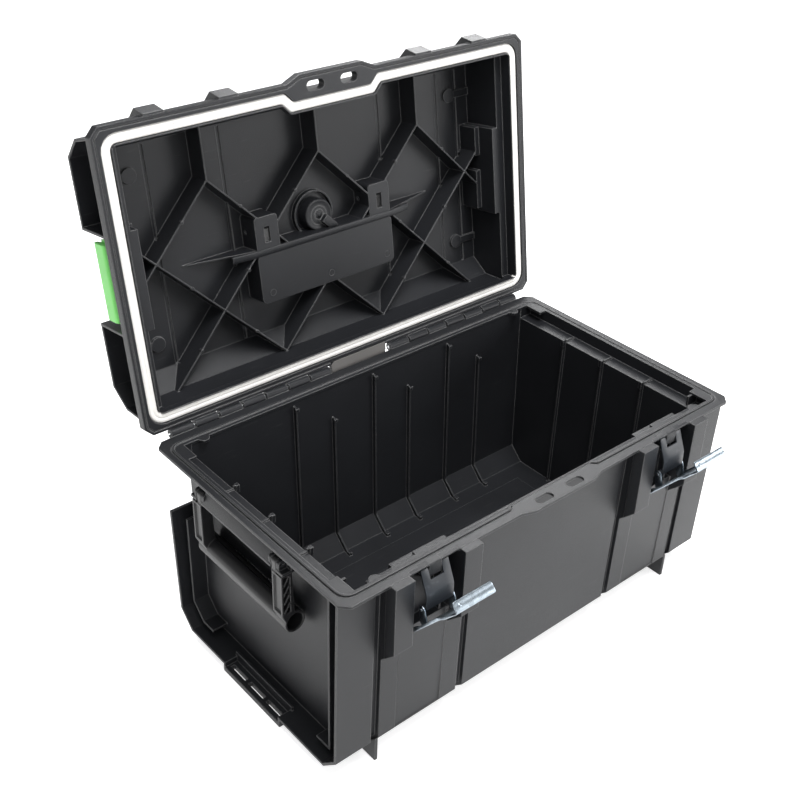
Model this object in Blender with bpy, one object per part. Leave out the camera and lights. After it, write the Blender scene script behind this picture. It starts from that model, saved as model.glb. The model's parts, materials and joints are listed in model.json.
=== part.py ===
"""Stackable hard tool case, modelled open.

Millimetre sizes are held in metres, +Z is up, the front of the case looks along -Y and the middle of the
bin's underside is the origin.  The lid and what it carries are drawn shut, in the bin's own frame, and
hang from an empty on the hinge axis that turns them back to the open stop.
"""

import math

import bmesh
import bpy
from mathutils import Matrix, Vector

# Common values
WALL = 0.0030              # moulded wall of bin and lid
RIB = 0.0020               # moulded stiffening rib
CLEAR = 0.0003             # gap between pieces that touch
RUNNING = 0.0005           # gap round a piece that turns
SINK = 0.0006              # how far an added shape reaches into its carrier
OVERRUN = 0.0040           # how far a cut runs past the face it opens
MITRE = math.sqrt(2.0) - 1.0   # corner shift of an offset at a 45 degree corner
ROUND = 24                 # facets of a large round
SMALL_ROUND = 12           # facets of a small round

# Bin
RIM_TOP = 0.2250           # bin rim above the underside
RIM_HALF_WIDTH = 0.2703
RIM_HALF_DEPTH = 0.1558
RIM_CORNER = 0.0085        # chamfer of the rim's corners
FLANGE = 0.0033            # thickness of the rim flange
FRONT_LIP = 0.0098   # reach of the rim ahead of the front wall
FRONT_HEAD = RIM_HALF_DEPTH - FRONT_LIP   # front wall below the rim, ahead of the centre
FRONT_DRAFT = 0.0028   # lean of the front wall
FRONT_FOOT = FRONT_HEAD - FRONT_DRAFT   # front wall above the bottom chamfer
BACK_LIP = 0.0153   # reach of the rim behind the back wall
BACK_HEAD = RIM_HALF_DEPTH - BACK_LIP
BACK_DRAFT = 0.0075   # lean of the back wall
BACK_FOOT = BACK_HEAD - BACK_DRAFT
BOTTOM_CHAMFER = 0.0198
WING_INSET = 0.0006   # rim's end to the wing's end
WING_HALF_WIDTH = RIM_HALF_WIDTH - WING_INSET   # front wall, floor and back wall run out to here
BAY_DEEP = 0.0282   # depth of the open side bays
SIDE_WALL = WING_HALF_WIDTH - BAY_DEEP   # outer face of the compartment's end walls
BACK_ARM_DROP = 0.0738
BACK_ARM_TOP = RIM_TOP - BACK_ARM_DROP   # the back wing stops here
BAND_REACH = 0.0175        # step of the end wall above the ledge
BAND_OUT = SIDE_WALL + BAND_REACH   # outer face of the end wall above the ledge
OPENING_HALF_WIDTH = BAND_OUT - WALL
RIM_LAND_FRONT = 0.0153   # rim's front edge to the opening
OPENING_FRONT = RIM_HALF_DEPTH - RIM_LAND_FRONT
RIM_LAND_BACK = 0.0173
OPENING_BACK = RIM_HALF_DEPTH - RIM_LAND_BACK
LEDGE = 0.0148             # inner ledge below the rim
FLOOR_PAD = 0.0012         # raised panel of the floor
FLOOR_PAD_MARGIN = 0.0300

CORNER_TAB_LONG = 0.0240
CORNER_TAB_REACH = 0.0090
ROUND_TAB_RADIUS = 0.0065
ROUND_TAB_INSET = 0.0322   # opening's end to the half-round tab
ROUND_TAB_X = OPENING_HALF_WIDTH - ROUND_TAB_INSET
LATCH_TAB_HALF = 0.0360
LATCH_TAB_REACH = 0.0035

# front wall layout, each panel strip set out from the middle of its latch
LATCH_INSET = 0.1036       # rim's end to the middle of each latch
LATCH_X = RIM_HALF_WIDTH - LATCH_INSET
GROOVE_WIDE = 0.0090       # groove between two panels
GROOVE_NEAR = 0.0507       # latch's middle to the groove beside the middle panel
GROOVE_FAR = 0.0513        # latch's middle to the groove beside the wing
GROOVE_INNER = (LATCH_X - GROOVE_NEAR - GROOVE_WIDE, LATCH_X - GROOVE_NEAR)
GROOVE_OUTER = (LATCH_X + GROOVE_FAR, LATCH_X + GROOVE_FAR + GROOVE_WIDE)
GROOVE_DEPTH = 0.0048
BAND_NEAR = 0.0282
BAND_FAR = 0.0298
BAND_RECESS = (LATCH_X - BAND_NEAR, LATCH_X + BAND_FAR)   # lowered strip of each latch panel
BAND_RECESS_DEPTH = 0.0012

CHEEK_GAP = 0.0606         # between the guard cheeks
CHEEK_WIDE = 0.0222
CHEEK_REACH = 0.0178   # cheeks stand this far ahead of the wall
CHEEK_FACE = FRONT_HEAD + CHEEK_REACH   # front face of the cheeks, ahead of the centre
CHEEK_DROP = 0.0006
CHEEK_TOP = RIM_TOP - CHEEK_DROP
CHEEK_TALL = 0.0790
CHEEK_FOOT = RIM_TOP - CHEEK_TALL   # lower end of the cheeks' front face
POCKET_TALL = 0.0778
POCKET_FOOT = RIM_TOP - POCKET_TALL   # floor of the latch pocket
POCKET_DEEP = 0.0130       # how far the latch pocket goes behind the wall
POCKET_RIB_OFFSET = 0.0215

# draw latch
STRAP_INSET = 0.0023   # rim's front edge to the strap's pin
STRAP_PIVOT_Y = RIM_HALF_DEPTH - STRAP_INSET
STRAP_PIVOT_DROP = 0.0072
STRAP_PIVOT_Z = RIM_TOP - STRAP_PIVOT_DROP
STRAP_HALF = 0.0165
STRAP_PLATE = 0.0018
STRAP_WINDOW_HALF = 0.0080
STRAP_WINDOW_TALL = 0.0083
STRAP_WINDOW_FOOT = STRAP_PIVOT_Z - STRAP_WINDOW_TALL
STRAP_LEAN = 0.0071   # lever's pin ahead of the strap's pin
STRAP_BEND_Y = STRAP_PIVOT_Y + STRAP_LEAN
STRAP_BEND_DROP = 0.0192
STRAP_BEND_Z = STRAP_PIVOT_Z - STRAP_BEND_DROP
LEVER_PIVOT_Y = STRAP_PIVOT_Y + STRAP_LEAN
STRAP_LONG = 0.0368   # between the latch's two pins, upright
LEVER_PIVOT_Z = STRAP_PIVOT_Z - STRAP_LONG
LATCH_NOTCH_HALF = 0.0283  # notch in the rim flange ahead of each strap
LATCH_NOTCH = 0.0036   # depth of that notch
LATCH_NOTCH_LINE = RIM_HALF_DEPTH - LATCH_NOTCH   # back edge of that notch
LATCH_PIN = 0.0015         # radius of both latch pins
EYE = 0.0032               # outer radius of a rolled eye
LEVER_PLATE = 0.0018
LEVER_EAR = 0.0015
LEVER_ROOT_STEP = 0.0006
LEVER_ROOT_Y = LEVER_PIVOT_Y + LEVER_ROOT_STEP
LEVER_ROOT_DROP = 0.0235
LEVER_ROOT_Z = LEVER_PIVOT_Z - LEVER_ROOT_DROP
LEVER_TRAY_RUN = 0.0278   # tray of the lever, outward
LEVER_STEP_Y = LEVER_ROOT_Y + LEVER_TRAY_RUN
LEVER_TRAY_RISE = 0.0390
LEVER_STEP_Z = LEVER_ROOT_Z + LEVER_TRAY_RISE
LEVER_TIP_RUN = 0.0130
LEVER_TIP_Y = LEVER_STEP_Y + LEVER_TIP_RUN
LEVER_TIP_RISE = 0.0250
LEVER_TIP_Z = LEVER_STEP_Z + LEVER_TIP_RISE
LEVER_ROOT_HALF = 0.0275
LEVER_TIP_HALF = 0.0236
LEVER_EAR_RISE = 0.0040
LEVER_EAR_TOP_Z = LEVER_PIVOT_Z + LEVER_EAR_RISE
LEVER_CHANNEL = 0.0080     # rolled lip of the lever, toe to heel
LEVER_BEAD = 0.0020
LEVER_WEB_HALF = 0.0195    # stiffening swage of the lever

# padlock tabs of the bin's rim and of the lid's, half width, reach ahead of the rim and run of the slope
TAB_BIN = (0.0420, 0.0052, 0.0150)
TAB_LID = (0.0400, 0.0073, 0.0170)
LOCK_HOLE_X = 0.0217
LOCK_HOLE_LONG = 0.0220
LOCK_HOLE_WIDE = 0.0100
LOCK_HOLE_INSET = 0.0043   # rim's front edge to the middle of each hole
LOCK_HOLE_Y = RIM_HALF_DEPTH - LOCK_HOLE_INSET

# ridge on the rim and the seal channel above it
SEAL_INSET = 0.0085        # lid edge to seal
SEAL_WIDE = 0.0102
SEAL_RADIUS = 0.0170
SEAL_JOG_HALF = 0.0500
SEAL_JOG = 0.0100
SEAL_FACE = 0.0020         # seal face above the lid's rim plane
SEAL_DEEP = 0.0050
SEAL_GROOVE = 0.0012       # hollow line along the middle of the seal
RIDGE_WIDE = 0.0024
RIDGE_TALL = 0.0014
RIM_GROOVE_DEEP = 0.0010

# hinge
HINGE_REACH = 0.00532   # rim's back edge to the hinge axis
HINGE_Y = RIM_HALF_DEPTH + HINGE_REACH
HINGE_RISE = 0.00039
HINGE_Z = RIM_TOP + HINGE_RISE
HINGE_RADIUS = 0.0050
HINGE_PIN = 0.0020
HINGE_START = 0.0425       # inner end of each leaf, from the middle
HINGE_INSET = 0.0203   # rim's end to the outer end of each leaf
HINGE_END = RIM_HALF_WIDTH - HINGE_INSET
KNUCKLES = 7
KNUCKLE_SHARE = 0.92       # of the pitch
PIN_PROUD = 0.0010
OPEN_ANGLE = math.radians(99.0)
COVER_PLATE = 0.0012
COVER_LAP = 0.0033   # the plate's lap over the lid's rim
COVER_FRONT = RIM_HALF_DEPTH - COVER_LAP
COVER_REACH = 0.0102
COVER_BACK = RIM_HALF_DEPTH + COVER_REACH
COVER_NOTCH = 0.0040

# side bays of the bin
BAY_RIB_BACK_INSET = 0.0180
BAY_RIB_BACK = BACK_HEAD - BAY_RIB_BACK_INSET
BAY_RIB_FRONT_INSET = 0.0245
BAY_RIB_FRONT = FRONT_HEAD - BAY_RIB_FRONT_INSET
BAY_RIB_INSET = 0.0097   # wing's end to the ribs' edge
BAY_RIB_OUT = WING_HALF_WIDTH - BAY_RIB_INSET
BAY_RIB_PLATE = 0.0026
BAY_RIB_LIFT = 0.0105      # above the floor's inner face
BAY_RIB_RUN_BACK = 0.0380
BAY_RIB_RUN_FRONT = 0.0215
BAY_RIB_DROP = 0.0062      # inner back rib starts this far below the wing's top

CATCH_HALF = 0.0480        # frame under the bay that the box below locks into
CATCH_DEEP = 0.0157   # depth of the catch frame
CATCH_IN = WING_HALF_WIDTH - CATCH_DEEP
CATCH_PLATE = 0.0025
CATCH_FLOOR = 0.0065       # depth of the slotted bar
CATCH_RISE = 0.0080
CATCH_SLOTS = 3
CATCH_SLOT_WIDE = 0.0038
CATCH_SLOT_SHARE = 0.80
FOOT = 0.0100              # feet and catch frame reach this far below the underside
FOOT_FIN = 0.0036
FOOT_FIN_INSET = 0.0220   # end wall to the middle of each fin
FOOT_FIN_X = SIDE_WALL - FOOT_FIN_INSET

# side handles
HANDLE_Y = 0.0140          # middle of the side handle
HANDLE_SPAN = 0.1515
HANDLE_ARM_WIDE = 0.0155
HANDLE_PIVOT_REACH = 0.0050   # end wall's band to the pivot
HANDLE_PIVOT_X = BAND_OUT + HANDLE_PIVOT_REACH
HANDLE_ARM_REACH = 0.0050   # pivot to the arm's outer face
HANDLE_ARM_OUT = HANDLE_PIVOT_X + HANDLE_ARM_REACH
HANDLE_ARM_THICK = 0.0120
HANDLE_PIVOT_DROP = 0.0185
HANDLE_PIVOT_Z = RIM_TOP - HANDLE_PIVOT_DROP
TONGUE_INSET = 0.0050      # tongues stand nearer the middle than the arms
HANDLE_PIN = 0.0016
HANDLE_HUB = 0.0044
HANDLE_TONGUE = 0.0070
HANDLE_SHOULDER = 0.0105   # pivot to the arm's shoulder
GRIP_INSET = 0.0145   # arm's outer face to the middle of the grip
GRIP_X = HANDLE_ARM_OUT - GRIP_INSET
HANDLE_LONG = 0.0720   # pivot to the middle of the grip
GRIP_Z = HANDLE_PIVOT_Z - HANDLE_LONG
GRIP_WIDE = 0.0230
GRIP_TALL = 0.0250
GRIP_WALL = 0.0024
TRUSS_BAYS = 4
TRUSS_RIB = 0.0014
TRUSS_DEEP = 0.0060
ARM_CHANNEL_DEEP = 0.0035
EAR = 0.0045
EAR_GAP = 0.0004
BEAM_DROP = 0.0055
BEAM_TOP = HANDLE_PIVOT_Z - BEAM_DROP
BEAM = 0.0030
BEAM_OUT = HANDLE_ARM_OUT
BEAM_HALF = 0.0775

# ribs inside the bin
BACK_RIB_REACH = 0.0050
BACK_RIB_CAP = 0.0045
TALL_RIB_DROP = 0.0085
TALL_RIB_TOP = RIM_TOP - TALL_RIB_DROP
SHORT_RIB_DROP = 0.0425
SHORT_RIB_TOP = RIM_TOP - SHORT_RIB_DROP
TALL_RIBS = (-0.1095, 0.0007, 0.1144)
SHORT_RIBS = (-0.0578, 0.0531, 0.1649)
END_RIB_PITCH = 0.0605
END_RIB_REACH = 0.0040
FLOOR_RIB_RUN = 0.0240
FLOOR_POST = 0.0042

# Lid, drawn shut
LID_OVERHANG = 0.0047   # lid's end beyond the bin's rim
LID_HALF_WIDTH = RIM_HALF_WIDTH + LID_OVERHANG
LID_FRONT_OVERHANG = 0.0021
LID_FRONT = RIM_HALF_DEPTH + LID_FRONT_OVERHANG
LID_BACK = RIM_HALF_DEPTH
LID_GAP = 0.00045
LID_RIM = RIM_TOP + LID_GAP   # the lid's rim plane
LID_FLANGE = 0.0100
LID_CORNER = 0.0090
LIP_WIDE = 0.0032          # raised lip outside the groove in the lid's rim
LIP_GROOVE = 0.0012        # width of that groove
LIP_GROOVE_DEEP = 0.0010
LID_TALL = 0.06805
LID_TOP = LID_RIM + LID_TALL
LID_FRONT_LIP = 0.0113
LID_FRONT_FOOT = LID_FRONT - LID_FRONT_LIP   # front wall at the flange
LID_FRONT_DRAFT = 0.0048
LID_FRONT_HEAD = LID_FRONT_FOOT - LID_FRONT_DRAFT   # front wall at the chamfer
LID_BACK_LIP = 0.0121
LID_BACK_FOOT = LID_BACK - LID_BACK_LIP
LID_BACK_DRAFT = 0.0029
LID_BACK_HEAD = LID_BACK_FOOT - LID_BACK_DRAFT
LID_CHAMFER_DEEP = 0.0203
LID_CHAMFER_DROP = 0.0225
LID_WING = WING_HALF_WIDTH
LID_POCKET_DEEP = 0.0222   # depth of the side pockets
LID_SIDE = LID_WING - LID_POCKET_DEEP   # outer face of the end walls, at the pockets
LOCK_BAY_STEP = 0.0075   # how much deeper the lock's bay is
LID_SIDE_MIDDLE = LID_SIDE - LOCK_BAY_STEP   # outer face behind the side lock
LID_LAND_END = 0.0205   # width of the lid's rim at its ends
LID_OPENING_HALF = LID_HALF_WIDTH - LID_LAND_END
LID_LAND_FRONT = 0.0207
LID_OPENING_FRONT = LID_FRONT - LID_LAND_FRONT
LID_LAND_BACK = 0.0203
LID_OPENING_BACK = LID_BACK - LID_LAND_BACK
LID_THROAT = 0.0176        # depth of the wide throat above the rim plane
POCKET_GAP_HALF = 0.0490   # pockets keep clear of the lock bar by this
LID_RIB_TALL = 0.0298   # panel's top to the ribs' lower edge
RIB_TOP = LID_TOP - LID_RIB_TALL   # lower edge of the lattice ribs
LATTICE = 0.0706           # half the diagonal of the lattice
LATTICE_INSET = 0.0683   # front wall to the first row of nodes
LATTICE_FRONT = LID_FRONT_HEAD - LATTICE_INSET   # first row of nodes, ahead of the centre
LATTICE_RIB = 0.0018
NUB = 0.0020
NUB_PROUD = 0.0012

BULGE_HALF = 0.0930        # inside face of the top handle's recess
BULGE_FRONT = 0.0205
BULGE_BACK = 0.0765
BULGE_RADIUS = 0.0060
ARCH_Y = 0.0162
ARCH_HALF = 0.1700
ARCH_FLAT = 0.0850
PIVOT_BOX_X = 0.0774
PIVOT_BOX_HALF = 0.0150
PIVOT_BOX_FRONT = 0.0205
PIVOT_BOX_ROUND = 0.0040
PIVOT_SLOT_HALF = 0.0035
PIVOT_SLOT_REACH = 0.0085  # slot in each box's floor, ahead of and behind the vent plug's line
SIDE_BLOCK_DEEP = 0.0095   # depth of the blocks on the lid's end walls
SIDE_BLOCK_FACE = LID_SIDE_MIDDLE - SIDE_BLOCK_DEEP   # inner face of the blocks on the lid's end walls
SIDE_BLOCKS = ((-0.0517, -0.0174), (0.0007, 0.0479))

BOWL_RADIUS = 0.0265
BOWL_WALL = 0.0022
BOWL_TALL = 0.0060
PLUG_RADIUS = 0.0180
PLUG_DROP = 0.0180
PLUG_TOP = LID_TOP - PLUG_DROP
PLUG_LUG = 0.0255          # reach of the plug's lug
PLUG_LUG_HALF = 0.0050
PLUG_LUG_TALL = 0.0065     # how far the lug stands off the disc
PLUG_TURN = math.radians(45.0)
PLUG_STEM = 0.0060
PLUG_DIMPLE = 0.0045

CHANNEL_NEAR = 0.0612      # latch's middle to the groove beside the lid's middle panel
CHANNEL_INNER = 0.0273
CHANNEL_FAR = 0.0583
CHANNELS = (LATCH_X - CHANNEL_NEAR, LATCH_X + CHANNEL_INNER, LATCH_X + CHANNEL_FAR)   # grooves in the lid's panel, from the middle
CHANNEL_WIDE = 0.0034
CHANNEL_DEEP = 0.0012
PAD_INSET = 0.0345   # end wall to the middle of each pad
PAD_X = LID_SIDE - PAD_INSET
PAD_Y = (-0.0905, 0.0905)
PAD_RADIUS = 0.0085
PAD_NECK_HALF = 0.0042     # web that ties each pad to the end wall
PAD_TALL = 0.0030

BUMP_FOOT_REACH = 0.0023
BUMP_FOOT = LID_FRONT + BUMP_FOOT_REACH   # lid bumps in line with the cheeks, at the rim plane
BUMP_REACH = 0.0061
BUMP_FACE = LID_FRONT + BUMP_REACH
BUMP_RISE = 0.01705
BUMP_TOP = LID_RIM + BUMP_RISE
BUMP_DROP = 0.0230
BUMP_HEAD = LID_TOP - BUMP_DROP

# side locks
LOCK_INSET = 0.0107   # wing's end to the lock's axis
LOCK_AXIS_X = LID_WING - LOCK_INSET
LOCK_DROP = 0.0345
LOCK_AXIS_Z = LID_TOP - LOCK_DROP
LOCK_HALF = 0.0440
LOCK_JOURNAL = 0.0045
LOCK_JOURNAL_LONG = 0.0070
LOCK_HUB = 0.0052
LOCK_OUT = LID_WING - RUNNING
LOCK_TALL = 0.0148
LOCK_PLATE = 0.0046
LOCK_GRIP = 0.0020

# top handle
TOP_PIVOT_Y = -0.0020
TOP_PIVOT_DROP = 0.0100
TOP_PIVOT_Z = LID_TOP - TOP_PIVOT_DROP
TOP_ARM_X = PIVOT_BOX_X
TOP_ARM_WIDE = 0.0120
TOP_ARM_THICK = 0.0090
TOP_PIN = 0.0022
TOP_GRIP_Y = 0.0560
TOP_GRIP_WIDE = 0.0240
TOP_GRIP_THICK = 0.0170
TOP_GRIP_HALF = 0.0860
TOP_FLOOR = RIB_TOP + WALL   # floor of the recess, seen from outside
TOP_HANG = math.radians(9.0)


# Scene helpers
def clear_scene():
    """Empty the file of earlier objects, meshes, curves, materials and collections."""
    for item in list(bpy.data.objects):
        bpy.data.objects.remove(item, do_unlink=True)
    for store in (bpy.data.meshes, bpy.data.curves, bpy.data.materials, bpy.data.collections):
        for item in list(store):
            store.remove(item)


def add_collection(name):
    collection = bpy.data.collections.new(name)
    bpy.context.scene.collection.children.link(collection)
    return collection


def add_material(name, colour, roughness, metallic=0.0):
    """A Principled material from a linear colour."""
    material = bpy.data.materials.new(name)
    material.use_nodes = True
    shader = material.node_tree.nodes["Principled BSDF"]
    shader.inputs["Base Color"].default_value = (*colour, 1.0)
    shader.inputs["Roughness"].default_value = roughness
    shader.inputs["Metallic"].default_value = metallic
    material.diffuse_color = (*colour, 1.0)
    return material


def mesh_object(mesh, name="shape"):
    """A loose object in the work collection."""
    item = bpy.data.objects.new(name, mesh)
    bpy.data.collections["work"].objects.link(item)
    return item


def from_bmesh(shape):
    mesh = bpy.data.meshes.new("shape")
    shape.to_mesh(mesh)
    shape.free()
    return mesh_object(mesh)


# Shapes
def lay(axis, span, shape):
    """Stand a shape that is drawn flat about zero on an axis, its two levels exactly at the span's ends."""
    low, high = min(span), max(span)
    for vert in shape.verts:
        u, v, w = vert.co
        w = high if w > 0.0 else low
        vert.co = {"X": (w, u, v), "Y": (u, w, v), "Z": (u, v, w)}[axis]
    bmesh.ops.recalc_face_normals(shape, faces=shape.faces)
    if shape.calc_volume(signed=True) < 0.0:
        bmesh.ops.reverse_faces(shape, faces=shape.faces)
    return from_bmesh(shape)


def box(x, y, z):
    """A block between three pairs of planes, each pair in either order."""
    shape = bmesh.new()
    bmesh.ops.create_cube(shape, size=1.0)
    for vert in shape.verts:
        vert.co = [max(pair) if value > 0.0 else min(pair) for value, pair in zip(vert.co, (x, y, z))]
    return from_bmesh(shape)


def rod(axis, centre, radius, span, facets=SMALL_ROUND):
    """A cylinder along an axis, between the two values of span on that axis."""
    shape = bmesh.new()
    bmesh.ops.create_cone(shape, cap_ends=True, segments=facets, radius1=radius, radius2=radius, depth=1.0)
    flat = [value for name, value in zip("XYZ", centre) if name != axis]
    bmesh.ops.translate(shape, vec=(*flat, 0.0), verts=shape.verts)
    return lay(axis, span, shape)


def prism(axis, outline, span, holes=()):
    """A flat outline, with holes, thickened along an axis: X takes (y, z), Y takes (x, z), Z takes (x, y)."""
    curve = bpy.data.curves.new("outline", "CURVE")
    curve.dimensions = "2D"
    curve.fill_mode = "BOTH"
    curve.extrude = abs(span[1] - span[0]) / 2.0
    for loop in (outline, *holes):
        spline = curve.splines.new("POLY")
        spline.points.add(len(loop) - 1)
        for point, (u, v) in zip(spline.points, loop):
            point.co = (u, v, 0.0, 1.0)
        spline.use_cyclic_u = True
    holder = bpy.data.objects.new("outline", curve)
    bpy.data.collections["work"].objects.link(holder)
    bpy.context.view_layer.update()
    mesh = bpy.data.meshes.new_from_object(holder.evaluated_get(bpy.context.evaluated_depsgraph_get()))
    bpy.data.objects.remove(holder)
    bpy.data.curves.remove(curve)
    shape = bmesh.new()
    shape.from_mesh(mesh)
    bpy.data.meshes.remove(mesh)
    bmesh.ops.remove_doubles(shape, verts=shape.verts, dist=CLEAR / 100.0)
    caps = [edge for edge in shape.edges
            if len({vert.co.z > 0.0 for face in edge.link_faces for vert in face.verts}) == 1]
    bmesh.ops.dissolve_edges(shape, edges=caps)
    return lay(axis, span, shape)


def fillet(points, radius, steps=3):
    """Round the corners of a closed outline; radius is one value or one for each corner."""
    radii = radius if isinstance(radius, (list, tuple)) else [radius] * len(points)
    result = []
    for index, corner in enumerate(points):
        here = Vector(corner)
        back = Vector(points[index - 1]) - here
        ahead = Vector(points[(index + 1) % len(points)]) - here
        size = radii[index]
        half = back.angle(ahead) / 2.0
        reach = size / math.tan(half) if size else 0.0
        reach = min(reach, back.length / 2.0, ahead.length / 2.0)
        if not reach:
            result.append(tuple(here))
            continue
        size = reach * math.tan(half)
        start = here + back.normalized() * reach
        finish = here + ahead.normalized() * reach
        centre = here + (back.normalized() + ahead.normalized()).normalized() * (size / math.sin(half))
        first, last = start - centre, finish - centre
        sweep = first.angle_signed(last)
        for step in range(steps + 1):
            turn = Matrix.Rotation(-sweep * step / steps, 2)
            result.append(tuple(centre + turn @ first))
    return result


def rectangle(x, y):
    return [(x[0], y[0]), (x[1], y[0]), (x[1], y[1]), (x[0], y[1])]


def racetrack(centre, length, width, steps=5):
    """A slot outline with round ends, long along its first direction."""
    x, y = centre
    return fillet(rectangle((x - length / 2.0, x + length / 2.0), (y - width / 2.0, y + width / 2.0)),
                  width / 2.0 - CLEAR / 100.0, steps)


def strip(points, thickness):
    """A bent plate's section: the path's points, and the same path offset to its left by the thickness."""
    path = [Vector(point) for point in points]
    offset = []
    for index, here in enumerate(path):
        before = (here - path[index - 1]).normalized() if index else None
        after = (path[index + 1] - here).normalized() if index + 1 < len(path) else None
        directions = [item for item in (before, after) if item]
        normals = [Vector((-item.y, item.x)) for item in directions]
        middle = sum(normals, Vector((0.0, 0.0))).normalized()
        offset.append(here + middle * (thickness / middle.dot(normals[0])))
    return [tuple(point) for point in path] + [tuple(point) for point in reversed(offset)]


# Joining and cutting
def combine(body, other, operation):
    modifier = body.modifiers.new(operation.title(), "BOOLEAN")
    modifier.operation = operation
    modifier.solver = "EXACT"
    modifier.object = other
    bpy.context.view_layer.update()
    result = bpy.data.meshes.new_from_object(body.evaluated_get(bpy.context.evaluated_depsgraph_get()))
    body.modifiers.clear()
    spent = [body.data, other.data]
    body.data = result
    bpy.data.objects.remove(other)
    for mesh in spent:
        bpy.data.meshes.remove(mesh)


def join(body, *others):
    for other in others:
        combine(body, other, "UNION")
    return body


def cut(body, *others):
    for other in others:
        combine(body, other, "DIFFERENCE")
    return body


def keep(body, other):
    combine(body, other, "INTERSECT")
    return body


def finish(body, name, material, carrier=None, smooth=30.0):
    """Name a finished piece, give it its material and move it to the parts collection."""
    mesh = body.data
    shape = bmesh.new()
    shape.from_mesh(mesh)
    bmesh.ops.remove_doubles(shape, verts=shape.verts, dist=CLEAR / 100.0)
    bmesh.ops.dissolve_limit(shape, angle_limit=math.radians(0.2), verts=shape.verts, edges=shape.edges)
    bmesh.ops.triangulate(shape, faces=[face for face in shape.faces if len(face.verts) > 4])
    shape.to_mesh(mesh)
    shape.free()
    mesh.shade_smooth()
    mesh.set_sharp_from_angle(angle=math.radians(smooth))
    mesh.materials.clear()
    mesh.materials.append(material)
    mesh.name = name
    body.name = name
    bpy.data.collections["work"].objects.unlink(body)
    bpy.data.collections["stackable_toolbox"].objects.link(body)
    if carrier:
        body.parent = carrier
        body.matrix_parent_inverse = Matrix.Translation(-Vector(carrier["rest"]))
    return body


def pivot(name, place, turn=None, carrier=None):
    """An empty on a joint axis; what hangs from it is drawn in the case's shut frame."""
    empty = bpy.data.objects.new(name, None)
    empty.empty_display_size = HINGE_RADIUS
    empty["rest"] = place
    empty.rotation_euler = turn or (0.0, 0.0, 0.0)
    bpy.data.collections["stackable_toolbox"].objects.link(empty)
    empty.location = place
    if carrier:
        empty.parent = carrier
        empty.matrix_parent_inverse = Matrix.Translation(-Vector(carrier["rest"]))
    return empty


# Outlines that several pieces share
def bin_section(inset, top):
    """The bin's cross-section in (y, z), drawn in by an inset, up to a given height."""
    rise = BOTTOM_CHAMFER + inset * MITRE
    return [
        (-FRONT_HEAD + inset, top),
        (-FRONT_FOOT + inset, rise),
        (-FRONT_FOOT + rise, inset),
        (BACK_FOOT - rise, inset),
        (BACK_FOOT - inset, rise),
        (BACK_HEAD - inset, top),
    ]


def lid_section(inset, foot):
    """The lid's cross-section in (y, z), drawn in by an inset, down to a given height."""
    shift = inset * MITRE
    return [
        (-LID_FRONT_FOOT + inset, foot),
        (-LID_FRONT_HEAD + inset, LID_TOP - LID_CHAMFER_DROP - shift),
        (-LID_FRONT_HEAD + LID_CHAMFER_DEEP + shift, LID_TOP - inset),
        (LID_BACK_HEAD - LID_CHAMFER_DEEP - shift, LID_TOP - inset),
        (LID_BACK_HEAD - inset, LID_TOP - LID_CHAMFER_DROP - shift),
        (LID_BACK_FOOT - inset, foot),
    ]


def rim_outline(half_width, front, back, corner, tab):
    """A rim's outer edge with chamfered corners and the padlock tab ahead of its middle."""
    half, reach, slope = tab[0], front + tab[1], tab[2]
    return [
        (half_width, -front + corner), (half_width, back - corner), (half_width - corner, back),
        (-half_width + corner, back), (-half_width, back - corner), (-half_width, -front + corner),
        (-half_width + corner, -front), (-half - slope, -front), (-half, -reach),
        (half, -reach), (half + slope, -front), (half_width - corner, -front),
    ]


def drawn_in(outline, distance):
    """A closed outline with every edge moved inward by a distance."""
    points = [Vector(point) for point in outline]
    turn = sum(points[index - 1].x * point.y - point.x * points[index - 1].y for index, point in enumerate(points))
    way = math.copysign(distance, turn)
    moved = []
    for index, point in enumerate(points):
        back = (point - points[index - 1]).normalized()
        ahead = (points[(index + 1) % len(points)] - point).normalized()
        across = Vector((-back.y, back.x)) + Vector((-ahead.y, ahead.x))
        moved.append(tuple(point + across * (way / (1.0 + back.dot(ahead)))))
    return moved


def seal_outline(inset):
    """The seal's path, drawn in by an inset from the seal's outer edge, jogging behind the padlock tab."""
    half_width = LID_HALF_WIDTH - SEAL_INSET - inset
    front = LID_FRONT - SEAL_INSET - inset
    back = LID_BACK - SEAL_INSET - inset
    jog = SEAL_JOG_HALF + inset * MITRE
    round_off = SEAL_RADIUS - inset
    soft = SEAL_JOG / 2.0
    corners = [
        (half_width, back), (-half_width, back), (-half_width, -front),
        (-jog - SEAL_JOG, -front), (-jog, -front + SEAL_JOG), (jog, -front + SEAL_JOG),
        (jog + SEAL_JOG, -front), (half_width, -front),
    ]
    return fillet(corners, [round_off] * 3 + [soft] * 4 + [round_off], 4)


def lock_holes(low, high):
    """Cutters for the two padlock holes."""
    return [prism("Z", racetrack((side * LOCK_HOLE_X, -LOCK_HOLE_Y), LOCK_HOLE_LONG, LOCK_HOLE_WIDE),
                  (low - OVERRUN, high + OVERRUN)) for side in (-1.0, 1.0)]


def cheek_spans():
    """The x spans of the four guard cheeks, which the lid's bumps repeat."""
    for side in (-1.0, 1.0):
        for edge in (-1.0, 1.0):
            near = side * (LATCH_X + edge * CHEEK_GAP / 2.0)
            yield near, near + side * edge * CHEEK_WIDE


def plug_lug(grow):
    """The plug's lug in (x, y), grown all round by a clearance."""
    half = PLUG_LUG_HALF + grow
    outline = fillet(rectangle((PLUG_STEM, PLUG_LUG + grow), (-half, half)), [0.0, half / 2.0, half / 2.0, 0.0])
    turn = Matrix.Rotation(PLUG_TURN, 2)
    return [tuple(turn @ Vector(point)) for point in outline]


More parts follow.
